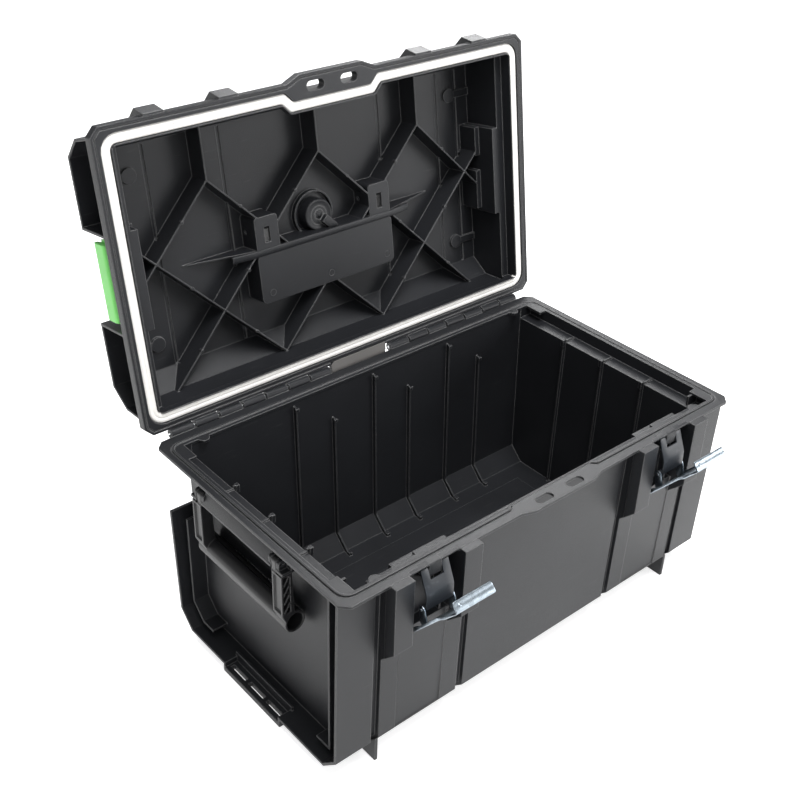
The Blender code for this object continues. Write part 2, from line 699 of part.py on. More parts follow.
def knuckle_spans(first):
    """The x spans of every other hinge knuckle on both leaves, starting with the first or second."""
    pitch = (HINGE_END - HINGE_START) / KNUCKLES
    for side in (-1.0, 1.0):
        for index in range(first, KNUCKLES, 2):
            start = HINGE_START + pitch * (index + (1.0 - KNUCKLE_SHARE) / 2.0)
            yield side * start, side * (start + pitch * KNUCKLE_SHARE)


def knuckle_outline(edge, way):
    """A hinge knuckle with its web in (y, z); the web meets the rim's edge above or below the axis."""
    rim = (LID_RIM if way > 0.0 else RIM_TOP) + way * CLEAR - HINGE_Z
    stop = math.pi + math.asin(way * rim / HINGE_RADIUS)
    outline = [(edge - WALL, HINGE_Z + way * HINGE_RADIUS)]
    for step in range(SMALL_ROUND + 1):
        angle = math.pi / 2.0 - (math.pi / 2.0 + stop) * step / SMALL_ROUND
        outline.append((HINGE_Y + HINGE_RADIUS * math.cos(angle), HINGE_Z + way * HINGE_RADIUS * math.sin(angle)))
    return outline + [(edge - WALL, HINGE_Z + rim)]


# Bin
def bin_body():
    """Chamfered trough with open side bays, the end walls set in from the wings."""
    body = prism("X", bin_section(0.0, RIM_TOP - FLANGE / 2.0), (-WING_HALF_WIDTH, WING_HALF_WIDTH))
    for side in (-1.0, 1.0):
        bay = (side * SIDE_WALL, side * (WING_HALF_WIDTH + OVERRUN))
        cut(body, prism("X", bin_section(WALL, RIM_TOP - FLANGE), bay))
        cut(body, box(bay, (0.0, BACK_HEAD + OVERRUN), (BACK_ARM_TOP, RIM_TOP - FLANGE)))
    return body


def bin_rim(body):
    """Rim flange, the stepped band of the end walls below it and the wide opening."""
    flange = prism("Z", rim_outline(RIM_HALF_WIDTH, RIM_HALF_DEPTH, RIM_HALF_DEPTH, RIM_CORNER, TAB_BIN),
                   (RIM_TOP - FLANGE, RIM_TOP))
    join(body, flange)
    for side in (-1.0, 1.0):
        band = [
            (-FRONT_HEAD + SINK, RIM_TOP - FLANGE + SINK), (-FRONT_HEAD + SINK, RIM_TOP - LEDGE - WALL),
            (BACK_HEAD - SINK, RIM_TOP - LEDGE - WALL), (BACK_HEAD - SINK, RIM_TOP - FLANGE + SINK),
        ]
        join(body, prism("X", band, (side * (SIDE_WALL - SINK), side * BAND_OUT)))
    return body


def bin_hollow(body):
    """The compartment, its ledges and the opening through the flange."""
    inner = SIDE_WALL - WALL
    cut(body, prism("X", bin_section(WALL, RIM_TOP - FLANGE), (-inner, inner)))
    cut(body, box((-OPENING_HALF_WIDTH, OPENING_HALF_WIDTH), (-OPENING_FRONT, OPENING_BACK - RIB),
                  (RIM_TOP - LEDGE, RIM_TOP - FLANGE)))
    cut(body, box((-OPENING_HALF_WIDTH, OPENING_HALF_WIDTH), (-OPENING_FRONT, OPENING_BACK - RIB),
                  (RIM_TOP - FLANGE - SINK, RIM_TOP + OVERRUN)))
    pad = FLOOR_PAD_MARGIN
    join(body, box((-inner + pad, inner - pad), (-FRONT_FOOT + pad + pad / 2.0, BACK_FOOT - pad - pad / 2.0),
                   (WALL - SINK, WALL + FLOOR_PAD)))
    return body


def bin_rim_tabs(body):
    """Square tabs in the corners, half-round ones beside them and shallow ones over the latches."""
    level = (RIM_TOP - FLANGE, RIM_TOP)
    for side in (-1.0, 1.0):
        edge = side * (OPENING_HALF_WIDTH + SINK)
        reach = side * (OPENING_HALF_WIDTH - CORNER_TAB_REACH)
        for front in (True, False):
            line = -OPENING_FRONT if front else OPENING_BACK - RIB
            inward = 1.0 if front else -1.0
            join(body, box((edge, reach), (line - inward * SINK, line + inward * CORNER_TAB_LONG), level))
            join(body, rod("Z", (side * ROUND_TAB_X, line, 0.0), ROUND_TAB_RADIUS, level, SMALL_ROUND))
        middle = side * LATCH_X
        slope = LATCH_TAB_REACH
        line = -OPENING_FRONT - SINK
        join(body, prism("Z", [
            (middle - LATCH_TAB_HALF - slope, line), (middle + LATCH_TAB_HALF + slope, line),
            (middle + LATCH_TAB_HALF, line + slope + SINK), (middle - LATCH_TAB_HALF, line + slope + SINK),
        ], level))
    return body


def bin_front(body):
    """Latch pockets, guard cheeks, the grooves between the panels and the ribs that back them."""
    face = -FRONT_HEAD
    under = RIM_TOP - FLANGE
    for groove in (GROOVE_INNER, GROOVE_OUTER):
        for side in (-1.0, 1.0):
            span = (side * (groove[0] - WALL), side * (groove[1] + WALL))
            span = tuple(max(-SIDE_WALL, min(SIDE_WALL, value)) for value in span)
            ridge = [
                (face + SINK, under), (face + GROOVE_DEPTH + WALL, under),
                (-FRONT_FOOT + GROOVE_DEPTH + WALL, BOTTOM_CHAMFER + WALL),
                (-FRONT_FOOT + BOTTOM_CHAMFER + GROOVE_DEPTH, WALL - SINK),
                (-FRONT_FOOT + BOTTOM_CHAMFER, SINK), (-FRONT_FOOT + SINK, BOTTOM_CHAMFER),
            ]
            join(body, prism("X", ridge, span))
    for side in (-1.0, 1.0):
        pocket = (side * (LATCH_X - CHEEK_GAP / 2.0), side * (LATCH_X + CHEEK_GAP / 2.0))
        case = (pocket[0] - side * WALL, pocket[1] + side * WALL)
        join(body, box(case, (face + SINK, face + POCKET_DEEP + WALL), (POCKET_FOOT - WALL, under + SINK)))
        cut(body, box(pocket, (face - OVERRUN, face + POCKET_DEEP), (POCKET_FOOT, under)))
        for edge in (-1.0, 1.0):
            rib = side * LATCH_X + edge * POCKET_RIB_OFFSET
            join(body, box((rib - RIB / 2.0, rib + RIB / 2.0), (face + WALL, face + POCKET_DEEP + SINK),
                           (POCKET_FOOT - SINK, under + SINK)))
    for near, far in cheek_spans():
        lean = CHEEK_FACE - FRONT_HEAD + WALL
        join(body, prism("X", [
            (face + WALL - SINK, CHEEK_FOOT - lean), (-CHEEK_FACE, CHEEK_FOOT), (-CHEEK_FACE, CHEEK_TOP),
            (face + WALL - SINK, CHEEK_TOP),
        ], (near, far)))
    for groove in (GROOVE_INNER, GROOVE_OUTER):
        for side in (-1.0, 1.0):
            cut(body, prism("X", [
                (face - OVERRUN, under), (face + GROOVE_DEPTH, under),
                (-FRONT_FOOT + GROOVE_DEPTH, BOTTOM_CHAMFER + GROOVE_DEPTH * MITRE),
                (-FRONT_FOOT + BOTTOM_CHAMFER + GROOVE_DEPTH * MITRE, 0.0 - OVERRUN + GROOVE_DEPTH),
                (-FRONT_FOOT + BOTTOM_CHAMFER - GROOVE_DEPTH, 0.0 - OVERRUN), (face - OVERRUN, 0.0 - OVERRUN),
            ], (side * groove[0], side * groove[1])))
    for side in (-1.0, 1.0):
        cut(body, prism("X", [
            (face - OVERRUN, POCKET_FOOT + OVERRUN), (face + BAND_RECESS_DEPTH, POCKET_FOOT + OVERRUN),
            (-FRONT_FOOT + BAND_RECESS_DEPTH, BOTTOM_CHAMFER), (-FRONT_FOOT - OVERRUN, BOTTOM_CHAMFER),
        ], (side * BAND_RECESS[0], side * BAND_RECESS[1])))
    return body


def bin_latch_boss(body):
    """The boss that fills each strap's window and the slot in the lip that frees the strap's arms."""
    lip = RIM_HALF_DEPTH
    half = STRAP_WINDOW_HALF - RUNNING
    slot_half = STRAP_HALF + RUNNING * 2.0
    for side in (-1.0, 1.0):
        middle = side * LATCH_X
        cut(body, box((middle - slot_half, middle + slot_half),
                      (-lip - OVERRUN, -STRAP_PIVOT_Y + EYE + RUNNING * 2.0),
                      (RIM_TOP - FLANGE - OVERRUN, RIM_TOP + OVERRUN)))
        cut(body, box((middle - LATCH_NOTCH_HALF, middle + LATCH_NOTCH_HALF),
                      (-lip - OVERRUN, -LATCH_NOTCH_LINE), (RIM_TOP - FLANGE - OVERRUN, RIM_TOP + OVERRUN)))
        nose = STRAP_PIVOT_Y + EYE
        boss = fillet([
            (-FRONT_HEAD + POCKET_DEEP + SINK, RIM_TOP), (-nose, RIM_TOP), (-nose, STRAP_WINDOW_FOOT + RUNNING * 2.0),
            (-FRONT_HEAD + POCKET_DEEP + SINK, STRAP_WINDOW_FOOT - POCKET_DEEP),
        ], [0.0, EYE / 2.0, EYE, 0.0])
        join(body, prism("X", boss, (middle - half, middle + half)))
        cut(body, rod("X", (0.0, -STRAP_PIVOT_Y, STRAP_PIVOT_Z), LATCH_PIN + CLEAR,
                      (middle - STRAP_HALF - OVERRUN, middle + STRAP_HALF + OVERRUN)))
    return body


def bin_ridge(body):
    """The raised ridge that presses on the seal, with the padlock holes ahead of it."""
    middle = SEAL_WIDE / 2.0
    join(body, prism("Z", seal_outline(middle - RIDGE_WIDE / 2.0), (RIM_TOP - SINK, RIM_TOP + RIDGE_TALL),
                     [seal_outline(middle + RIDGE_WIDE / 2.0)]))
    outer = middle - RIDGE_WIDE / 2.0
    cut(body, prism("Z", seal_outline(outer - RIDGE_WIDE / 2.0), (RIM_TOP - RIM_GROOVE_DEEP, RIM_TOP + OVERRUN),
                    [seal_outline(outer)]))
    return cut(body, *lock_holes(RIM_TOP - FLANGE, RIM_TOP))


def bin_hinge(body):
    """Knuckles along the back rim with the bore for the pins."""
    for near, far in knuckle_spans(0):
        join(body, prism("X", knuckle_outline(RIM_HALF_DEPTH, -1.0), (near, far)))
    for side in (-1.0, 1.0):
        cut(body, rod("X", (0.0, HINGE_Y, HINGE_Z), HINGE_PIN + CLEAR,
                      (side * (HINGE_START - OVERRUN), side * (HINGE_END + OVERRUN)), SMALL_ROUND))
    return body


def bin_inner_ribs(body):
    """Ribs down the back wall and the end walls, small posts where they reach the floor."""
    back = BACK_FOOT - WALL
    for places, top in ((TALL_RIBS, TALL_RIB_TOP), (SHORT_RIBS, SHORT_RIB_TOP)):
        lean = back + (BACK_HEAD - BACK_FOOT) * (top - BOTTOM_CHAMFER) / (RIM_TOP - BOTTOM_CHAMFER)
        foot = back - BOTTOM_CHAMFER
        for x in places:
            join(body, prism("X", [
                (lean + SINK, top), (lean - BACK_RIB_REACH, top),
                (back - BACK_RIB_REACH, BOTTOM_CHAMFER + WALL), (foot - BACK_RIB_REACH, WALL + FLOOR_PAD),
                (foot - BACK_RIB_REACH, WALL - SINK), (foot + WALL, WALL - SINK), (back + SINK, BOTTOM_CHAMFER),
            ], (x - RIB / 2.0, x + RIB / 2.0)))
            join(body, box((x - BACK_RIB_CAP / 2.0, x + BACK_RIB_CAP / 2.0),
                           (lean - BACK_RIB_REACH - RIB, lean - BACK_RIB_REACH + SINK), (top - BACK_RIB_CAP, top)))
            join(body, box((x - FLOOR_POST / 2.0, x + FLOOR_POST / 2.0),
                           (foot - BACK_RIB_REACH - FLOOR_POST, foot - BACK_RIB_REACH + SINK),
                           (WALL - SINK, WALL + FLOOR_POST)))
    inner = SIDE_WALL - WALL
    top = RIM_TOP - LEDGE
    for side in (-1.0, 1.0):
        for index in (-1.0, 0.0, 1.0):
            y = index * END_RIB_PITCH
            join(body, box((side * (inner + SINK), side * (inner - END_RIB_REACH)),
                           (y - RIB / 2.0, y + RIB / 2.0), (WALL - SINK, top + BACK_RIB_CAP)))
            join(body, box((side * (OPENING_HALF_WIDTH - RIB), side * (inner - END_RIB_REACH)),
                           (y - RIB / 2.0, y + RIB / 2.0), (top - SINK, top + RIB)))
            join(body, box((side * (inner - END_RIB_REACH + RIB), side * (inner - END_RIB_REACH - RIB)),
                           (y - BACK_RIB_CAP / 2.0, y + BACK_RIB_CAP / 2.0), (top - BACK_RIB_CAP, top + BACK_RIB_CAP)))
    return body


def bin_side_bay(body, side):
    """Ribs, handle beam, pivot ears and the catch frame of one side bay."""
    wall = side * (SIDE_WALL - SINK)
    floor = WALL + BAY_RIB_LIFT
    turn = BOTTOM_CHAMFER * MITRE + BAY_RIB_LIFT
    back_rib = strip([
        (BAY_RIB_BACK, BACK_ARM_TOP - BAY_RIB_DROP), (BAY_RIB_BACK, floor + turn), (BAY_RIB_BACK - turn, floor),
        (BAY_RIB_BACK - BAY_RIB_RUN_BACK, floor),
    ], -BAY_RIB_PLATE)
    join(body, prism("X", back_rib, (wall, side * BAY_RIB_OUT)))
    front_rib = strip([
        (-BAY_RIB_FRONT, RIM_TOP - FLANGE + SINK), (-BAY_RIB_FRONT, floor),
        (-BAY_RIB_FRONT + BAY_RIB_RUN_FRONT, floor),
    ], BAY_RIB_PLATE)
    join(body, prism("X", front_rib, (wall, side * BAY_RIB_OUT)))

    beam = (BEAM_TOP - BEAM, BEAM_TOP)
    run = (HANDLE_Y - BEAM_HALF, HANDLE_Y + BEAM_HALF)
    join(body, box((wall, side * BAND_OUT), run, (beam[0], RIM_TOP - LEDGE - WALL + SINK)))
    join(body, box((wall, side * BEAM_OUT), run, beam))
    for arm in handle_arm_centres(TONGUE_INSET):
        tongue = HANDLE_TONGUE / 2.0 + EAR_GAP
        cut(body, box((side * (HANDLE_PIVOT_X - HANDLE_HUB - RUNNING), side * (BEAM_OUT + OVERRUN)),
                      (arm - tongue - RUNNING, arm + tongue + RUNNING), (beam[0] - OVERRUN, beam[1] + OVERRUN)))
        for edge in (-1.0, 1.0):
            nose = HANDLE_PIVOT_X + HANDLE_HUB
            ear = fillet([
                (BAND_OUT - SINK, BEAM_TOP - SINK), (nose, BEAM_TOP - SINK),
                (nose, HANDLE_PIVOT_Z + HANDLE_HUB), (BAND_OUT - SINK, HANDLE_PIVOT_Z + HANDLE_HUB),
            ], [0.0, 0.0, HANDLE_HUB * 0.9, 0.0])
            ear = [(side * x, z) for x, z in ear]
            near = arm + edge * tongue
            join(body, prism("Y", ear, (near, near + edge * EAR)))
        reach = tongue + EAR + OVERRUN
        cut(body, rod("Y", (side * HANDLE_PIVOT_X, 0.0, HANDLE_PIVOT_Z), HANDLE_PIN + CLEAR,
                      (arm - reach, arm + reach)))

    outer = side * WING_HALF_WIDTH
    inner = side * (CATCH_IN - CATCH_PLATE)
    end = CATCH_HALF + CATCH_PLATE
    cut(body, box((side * CATCH_IN, side * (WING_HALF_WIDTH + OVERRUN)), (-CATCH_HALF, CATCH_HALF),
                  (-OVERRUN, WALL + OVERRUN)))
    join(body, box((inner, side * CATCH_IN), (-end, end), (-FOOT, CATCH_RISE)))
    join(body, box((inner, outer), (-end, end), (-FOOT, -FOOT + CATCH_FLOOR)))
    for edge in (-1.0, 1.0):
        join(body, box((inner, outer), (edge * CATCH_HALF, edge * end), (-FOOT, WALL)))
    pitch = CATCH_HALF * 2.0 / CATCH_SLOTS
    middle = (CATCH_IN + WING_HALF_WIDTH) / 2.0
    for index in range(CATCH_SLOTS):
        y = -CATCH_HALF + pitch * (index + 0.5)
        half = pitch * CATCH_SLOT_SHARE / 2.0
        cut(body, box((side * (middle - CATCH_SLOT_WIDE / 2.0), side * (middle + CATCH_SLOT_WIDE / 2.0)),
                      (y - half, y + half), (-FOOT - OVERRUN, -FOOT + CATCH_FLOOR + OVERRUN)))
    return body


def bin_feet(body):
    """Fins that square off the chamfered bottom edges and stand the case up."""
    for side in (-1.0, 1.0):
        x = side * FOOT_FIN_X
        for line, way in ((-FRONT_FOOT, 1.0), (BACK_FOOT, -1.0)):
            join(body, prism("X", [
                (line, BOTTOM_CHAMFER + SINK), (line, -FOOT), (line + way * (BOTTOM_CHAMFER + WALL), -FOOT),
                (line + way * (BOTTOM_CHAMFER + WALL), SINK), (line + way * (BOTTOM_CHAMFER - SINK), WALL / 2.0),
                (line + way * WALL / 2.0, BOTTOM_CHAMFER),
            ], (x - FOOT_FIN / 2.0, x + FOOT_FIN / 2.0)))
    return body


def build_bin(material):
    body = bin_rim(bin_body())
    bin_hollow(body)
    bin_rim_tabs(body)
    bin_front(body)
    bin_latch_boss(body)
    bin_ridge(body)
    bin_hinge(body)
    bin_inner_ribs(body)
    for side in (-1.0, 1.0):
        bin_side_bay(body, side)
    bin_feet(body)
    return finish(body, "bin_shell", material)


# Lid
def lid_pockets(body):
    """The stowage pockets at both ends of each side and the open bay of the lock bar."""
    for side in (-1.0, 1.0):
        deep = (side * LID_SIDE, side * (LID_WING + OVERRUN))
        for end in (-1.0, 1.0):
            pocket = prism("X", lid_section(WALL, LID_RIM + LID_THROAT), deep)
            near = end * (POCKET_GAP_HALF + WALL)
            keep(pocket, box(deep, (near, end * (LID_FRONT + OVERRUN)), (LID_RIM, LID_TOP)))
            cut(body, pocket)
        middle = (side * LID_SIDE_MIDDLE, side * (LID_WING + OVERRUN))
        cut(body, box(middle, (-POCKET_GAP_HALF, POCKET_GAP_HALF), (LID_RIM + LID_THROAT, LID_TOP + OVERRUN)))
        for end in (-1.0, 1.0):
            near = end * (POCKET_GAP_HALF - WALL)
            cut(body, rod("Y", (side * LOCK_AXIS_X, 0.0, LOCK_AXIS_Z), LOCK_JOURNAL + CLEAR,
                          (near, near + end * (WALL * 2.0 + OVERRUN))))
    return body


def lid_body():
    """Chamfered cover on a square flange, hollowed, with the deeper wall behind each lock bar."""
    base = LID_RIM + LID_FLANGE
    body = prism("X", lid_section(0.0, base - SINK), (-LID_WING, LID_WING))
    inner = LID_SIDE - WALL
    throat = LID_RIM + LID_THROAT
    cut(body, prism("X", lid_section(WALL, base - OVERRUN), (-inner, inner)))
    for side in (-1.0, 1.0):
        lump = (side * (LID_SIDE_MIDDLE - WALL), side * (LID_SIDE + SINK))
        reach = POCKET_GAP_HALF + WALL
        join(body, box(lump, (-reach, reach), (base - SINK, LID_TOP - SINK)))
    lid_pockets(body)
    flange = prism("Z", rim_outline(LID_HALF_WIDTH, LID_FRONT, LID_BACK, LID_CORNER, TAB_LID), (LID_RIM, base))
    join(body, flange)
    cut(body, box((-LID_OPENING_HALF, LID_OPENING_HALF), (-LID_OPENING_FRONT, LID_OPENING_BACK),
                  (LID_RIM - OVERRUN, throat - WALL)))
    return body


def rib_wall(start, end, low, high):
    """A vertical rib between two points of the lid's plan."""
    first, last = Vector(start), Vector(end)
    along = (last - first).normalized()
    across = Vector((-along.y, along.x)) * (LATTICE_RIB / 2.0)
    outline = [first - across, last - across, last + across, first + across]
    return prism("Z", [tuple(point) for point in outline], (low, high))


def lattice_ribs():
    """The crossing 45 degree ribs, each as a start and end point, clipped to the cover."""
    front = -LATTICE_FRONT
    half = LATTICE
    limit_x = LID_SIDE_MIDDLE - WALL / 2.0
    limit_back = LID_BACK_HEAD - WALL / 2.0
    starts = [-4.0, -2.0, 0.0, 2.0, 4.0]
    ribs = []
    for column in starts:
        for way in (-1.0, 1.0):
            x, y = column * half, front
            if abs(x) > limit_x:
                skip = abs(x) - limit_x
                if way * x > 0.0:
                    continue
                x, y = math.copysign(limit_x, x), front + skip
            run = min(limit_x - way * x, limit_back - y)
            ribs.append(((x, y), (x + way * run, y + run)))
    for column in (-2.0, 0.0, 2.0):
        foot = LID_FRONT_HEAD - WALL / 2.0
        if not column:
            foot = LID_FRONT - SEAL_INSET - SEAL_JOG - SEAL_WIDE
        ribs.append(((column * half, front), (column * half, -foot)))
    return ribs


def lid_lattice(body):
    """The lattice of thin ribs under the panel, with small ejector nubs on their edges."""
    high = LID_TOP - WALL + SINK
    for start, end in lattice_ribs():
        join(body, rib_wall(start, end, RIB_TOP, high))
    for row in (0.5, 1.5, 2.5):
        for column in range(-3, 4):
            x, y = (column + 0.5) * LATTICE, -LATTICE_FRONT + row * LATTICE
            if column in (-1, 0) and row > 1.0 or abs(x) > LID_SIDE_MIDDLE - WALL:
                continue
            join(body, rod("Z", (x, y, 0.0), NUB, (RIB_TOP - NUB_PROUD, RIB_TOP + OVERRUN), 8))
    return body


def lid_recess(body):
    """The bulge that takes the top handle, the arch rib ahead of it and the two pivot boxes."""
    outer = LID_TOP - WALL / 2.0
    bulge = fillet(rectangle((-BULGE_HALF, BULGE_HALF), (BULGE_FRONT, BULGE_BACK)), BULGE_RADIUS)
    join(body, prism("Z", bulge, (RIB_TOP, outer)))
    arch = [
        (-ARCH_HALF, outer), (-ARCH_HALF, LID_TOP - WALL - SINK), (-ARCH_FLAT, RIB_TOP), (ARCH_FLAT, RIB_TOP),
        (ARCH_HALF, LID_TOP - WALL - SINK), (ARCH_HALF, outer),
    ]
    join(body, prism("Y", arch, (ARCH_Y - LATTICE_RIB / 2.0, ARCH_Y + LATTICE_RIB / 2.0)))
    for side in (-1.0, 1.0):
        x = side * PIVOT_BOX_X
        case = rectangle((x - PIVOT_BOX_HALF, x + PIVOT_BOX_HALF), (-PIVOT_BOX_FRONT, BULGE_FRONT + WALL))
        join(body, prism("Z", fillet(case, PIVOT_BOX_ROUND), (RIB_TOP, outer)))
    hollow = fillet(rectangle((-BULGE_HALF + WALL, BULGE_HALF - WALL), (BULGE_FRONT + WALL, BULGE_BACK - WALL)),
                    BULGE_RADIUS - WALL)
    cut(body, prism("Z", hollow, (TOP_FLOOR, LID_TOP + OVERRUN)))
    for side in (-1.0, 1.0):
        x = side * PIVOT_BOX_X
        half = PIVOT_BOX_HALF - WALL
        cut(body, box((x - half, x + half), (-PIVOT_BOX_FRONT + WALL, BULGE_FRONT + WALL * 2.0),
                      (TOP_FLOOR, LID_TOP + OVERRUN)))
        cut(body, box((x - PIVOT_SLOT_HALF, x + PIVOT_SLOT_HALF), (-PIVOT_SLOT_REACH, PIVOT_SLOT_REACH),
                      (RIB_TOP - OVERRUN, TOP_FLOOR + OVERRUN)))
        reach = PIVOT_BOX_HALF + OVERRUN
        cut(body, rod("X", (0.0, TOP_PIVOT_Y, TOP_PIVOT_Z), TOP_PIN + CLEAR, (x - reach, x + reach)))
    return body


def lid_details(body):
    """Bowl round the vent plug, panel channels, key pads and the bumps in line with the cheeks."""
    inside = LID_TOP - WALL
    ahead = ((-BOWL_RADIUS * 2.0, BOWL_RADIUS * 2.0), (-BOWL_RADIUS * 2.0, ARCH_Y - LATTICE_RIB / 2.0))
    bowl = rod("Z", (0.0, 0.0, 0.0), BOWL_RADIUS, (inside - BOWL_TALL, inside + SINK), ROUND)
    cut(bowl, rod("Z", (0.0, 0.0, 0.0), BOWL_RADIUS - BOWL_WALL,
                  (inside - BOWL_TALL - OVERRUN, inside + OVERRUN), ROUND))
    keep(bowl, box(ahead[0], (ahead[1][0], ARCH_Y), (RIB_TOP, LID_TOP)))
    well = rod("Z", (0.0, 0.0, 0.0), BOWL_RADIUS - BOWL_WALL / 2.0, (RIB_TOP - OVERRUN, inside), ROUND)
    cut(body, keep(well, box(*ahead, (RIB_TOP - OVERRUN * 2.0, LID_TOP))))
    join(body, bowl)
    cut(body, rod("Z", (0.0, 0.0, 0.0), PLUG_RADIUS + RUNNING, (PLUG_TOP - RUNNING, inside), ROUND))
    cut(body, prism("Z", plug_lug(RUNNING), (RIB_TOP - OVERRUN, PLUG_TOP + SINK + RUNNING)))
    cut(body, rod("Z", (0.0, 0.0, 0.0), PLUG_STEM + CLEAR, (RIB_TOP, LID_TOP + OVERRUN)))
    run = LID_FRONT_HEAD - LID_CHAMFER_DEEP - WALL
    for side in (-1.0, 1.0):
        for place in CHANNELS:
            x = side * place
            cut(body, box((x - CHANNEL_WIDE / 2.0, x + CHANNEL_WIDE / 2.0), (-run, run),
                          (inside - OVERRUN, inside + CHANNEL_DEEP)))
        for y in PAD_Y:
            join(body, rod("Z", (side * PAD_X, y, 0.0), PAD_RADIUS, (inside - PAD_TALL, inside + SINK),
                           SMALL_ROUND))
            join(body, box((side * PAD_X, side * (LID_SIDE - WALL / 2.0)), (y - PAD_NECK_HALF, y + PAD_NECK_HALF),
                           (inside - PAD_TALL + SINK, inside + SINK)))
        for near, far in SIDE_BLOCKS:
            join(body, box((side * SIDE_BLOCK_FACE, side * (LID_SIDE_MIDDLE - WALL / 2.0)), (near, far),
                           (RIB_TOP, inside + SINK)))
    base = LID_RIM + LID_FLANGE
    for near, far in cheek_spans():
        lean = LID_FRONT_FOOT - WALL
        join(body, prism("X", [
            (-lean, LID_RIM + CLEAR), (-BUMP_FOOT, LID_RIM + CLEAR), (-BUMP_FACE, BUMP_TOP),
            (-LID_FRONT_HEAD + WALL / 2.0, BUMP_HEAD), (-lean, base + SINK),
        ], (near, far)))
    return body


def lid_seal_channel(body):
    """The channel that holds the seal, the ledge that carries its jog and the padlock holes ahead of it."""
    margin = LID_FRONT - SEAL_INSET - LID_OPENING_FRONT
    half, line = SEAL_JOG_HALF + margin * MITRE, -LID_OPENING_FRONT
    ledge = [(half + SEAL_JOG + SINK, line - SINK), (half, line + SEAL_JOG), (-half, line + SEAL_JOG),
             (-half - SEAL_JOG - SINK, line - SINK)]
    join(body, prism("Z", ledge, (LID_RIM, LID_RIM + LID_FLANGE)))
    depth = LID_RIM + SEAL_FACE + SEAL_DEEP + CLEAR
    cut(body, prism("Z", seal_outline(-CLEAR), (LID_RIM - OVERRUN, depth), [seal_outline(SEAL_WIDE + CLEAR)]))
    edge = rim_outline(LID_HALF_WIDTH, LID_FRONT, LID_BACK, LID_CORNER, TAB_LID)
    cut(body, prism("Z", drawn_in(edge, LIP_WIDE), (LID_RIM - OVERRUN, LID_RIM + LIP_GROOVE_DEEP),
                    [drawn_in(edge, LIP_WIDE + LIP_GROOVE)]))
    return cut(body, *lock_holes(LID_RIM, LID_RIM + LID_FLANGE))


def lid_hinge(body):
    """The lid's knuckles, and between the leaves the web that carries the cover plate."""
    for near, far in knuckle_spans(1):
        join(body, prism("X", knuckle_outline(LID_BACK, 1.0), (near, far)))
    for side in (-1.0, 1.0):
        cut(body, rod("X", (0.0, HINGE_Y, HINGE_Z), HINGE_PIN + CLEAR,
                      (side * (HINGE_START - OVERRUN), side * (HINGE_END + OVERRUN)), SMALL_ROUND))
    half = HINGE_START - WALL
    join(body, box((-half, half), (LID_BACK - WALL, COVER_BACK), (LID_RIM + COVER_PLATE + CLEAR,
                                                                  HINGE_Z + HINGE_RADIUS)))
    cut(body, box((-half - CLEAR, half + CLEAR), (COVER_FRONT - CLEAR, COVER_BACK + OVERRUN),
                  (LID_RIM - OVERRUN, LID_RIM + COVER_PLATE + CLEAR)))
    return body


def build_lid(material, carrier):
    body = lid_body()
    lid_lattice(body)
    lid_recess(body)
    lid_details(body)
    lid_seal_channel(body)
    lid_hinge(body)
    return finish(body, "lid_shell", material, carrier)


def build_seal(material, carrier):
    """Foam seal in its channel, with a shallow line pressed along its middle."""
    face = LID_RIM + SEAL_FACE
    body = prism("Z", seal_outline(0.0), (face, face + SEAL_DEEP), [seal_outline(SEAL_WIDE)])
    middle = SEAL_WIDE / 2.0
    cut(body, prism("Z", seal_outline(middle - RIDGE_WIDE / 2.0), (face - OVERRUN, face + SEAL_GROOVE / 2.0),
                    [seal_outline(middle + RIDGE_WIDE / 2.0)]))
    return finish(body, "lid_seal", material, carrier)


def build_cover_plate(material, carrier):
    """Plain plate between the hinge leaves, with one notched end."""
    half = HINGE_START - WALL - CLEAR
    notch = COVER_NOTCH
    outline = [
        (-half + notch, COVER_FRONT), (half, COVER_FRONT), (half, COVER_BACK - notch), (half - notch, COVER_BACK),
        (-half, COVER_BACK), (-half, COVER_FRONT + notch),
    ]
    body = prism("Z", outline, (LID_RIM, LID_RIM + COVER_PLATE))
    return finish(body, "hinge_cover_plate", material, carrier)


def build_hinge_pins(material, carrier):
    for name, side in (("hinge_pin_left", -1.0), ("hinge_pin_right", 1.0)):
        span = (side * (HINGE_START + PIN_PROUD), side * (HINGE_END + PIN_PROUD))
        finish(rod("X", (0.0, HINGE_Y, HINGE_Z), HINGE_PIN, span, SMALL_ROUND), name, material, carrier)


def build_vent_plug(material, carrier):
    """Vent plug: disc with a dimple, a lug at its edge and a stem through the panel."""
    inside = LID_TOP - WALL
    top = inside - CLEAR
    body = rod("Z", (0.0, 0.0, 0.0), PLUG_RADIUS, (PLUG_TOP, top), ROUND)
    join(body, prism("Z", plug_lug(0.0), (PLUG_TOP - PLUG_LUG_TALL, PLUG_TOP + SINK)))
    cut(body, rod("Z", (0.0, 0.0, 0.0), PLUG_DIMPLE, (PLUG_TOP - OVERRUN, PLUG_TOP + BOWL_WALL)))
    join(body, rod("Z", (0.0, 0.0, 0.0), PLUG_STEM, (top - SINK, LID_TOP - CLEAR)))
    return finish(body, "vent_plug", material, carrier)


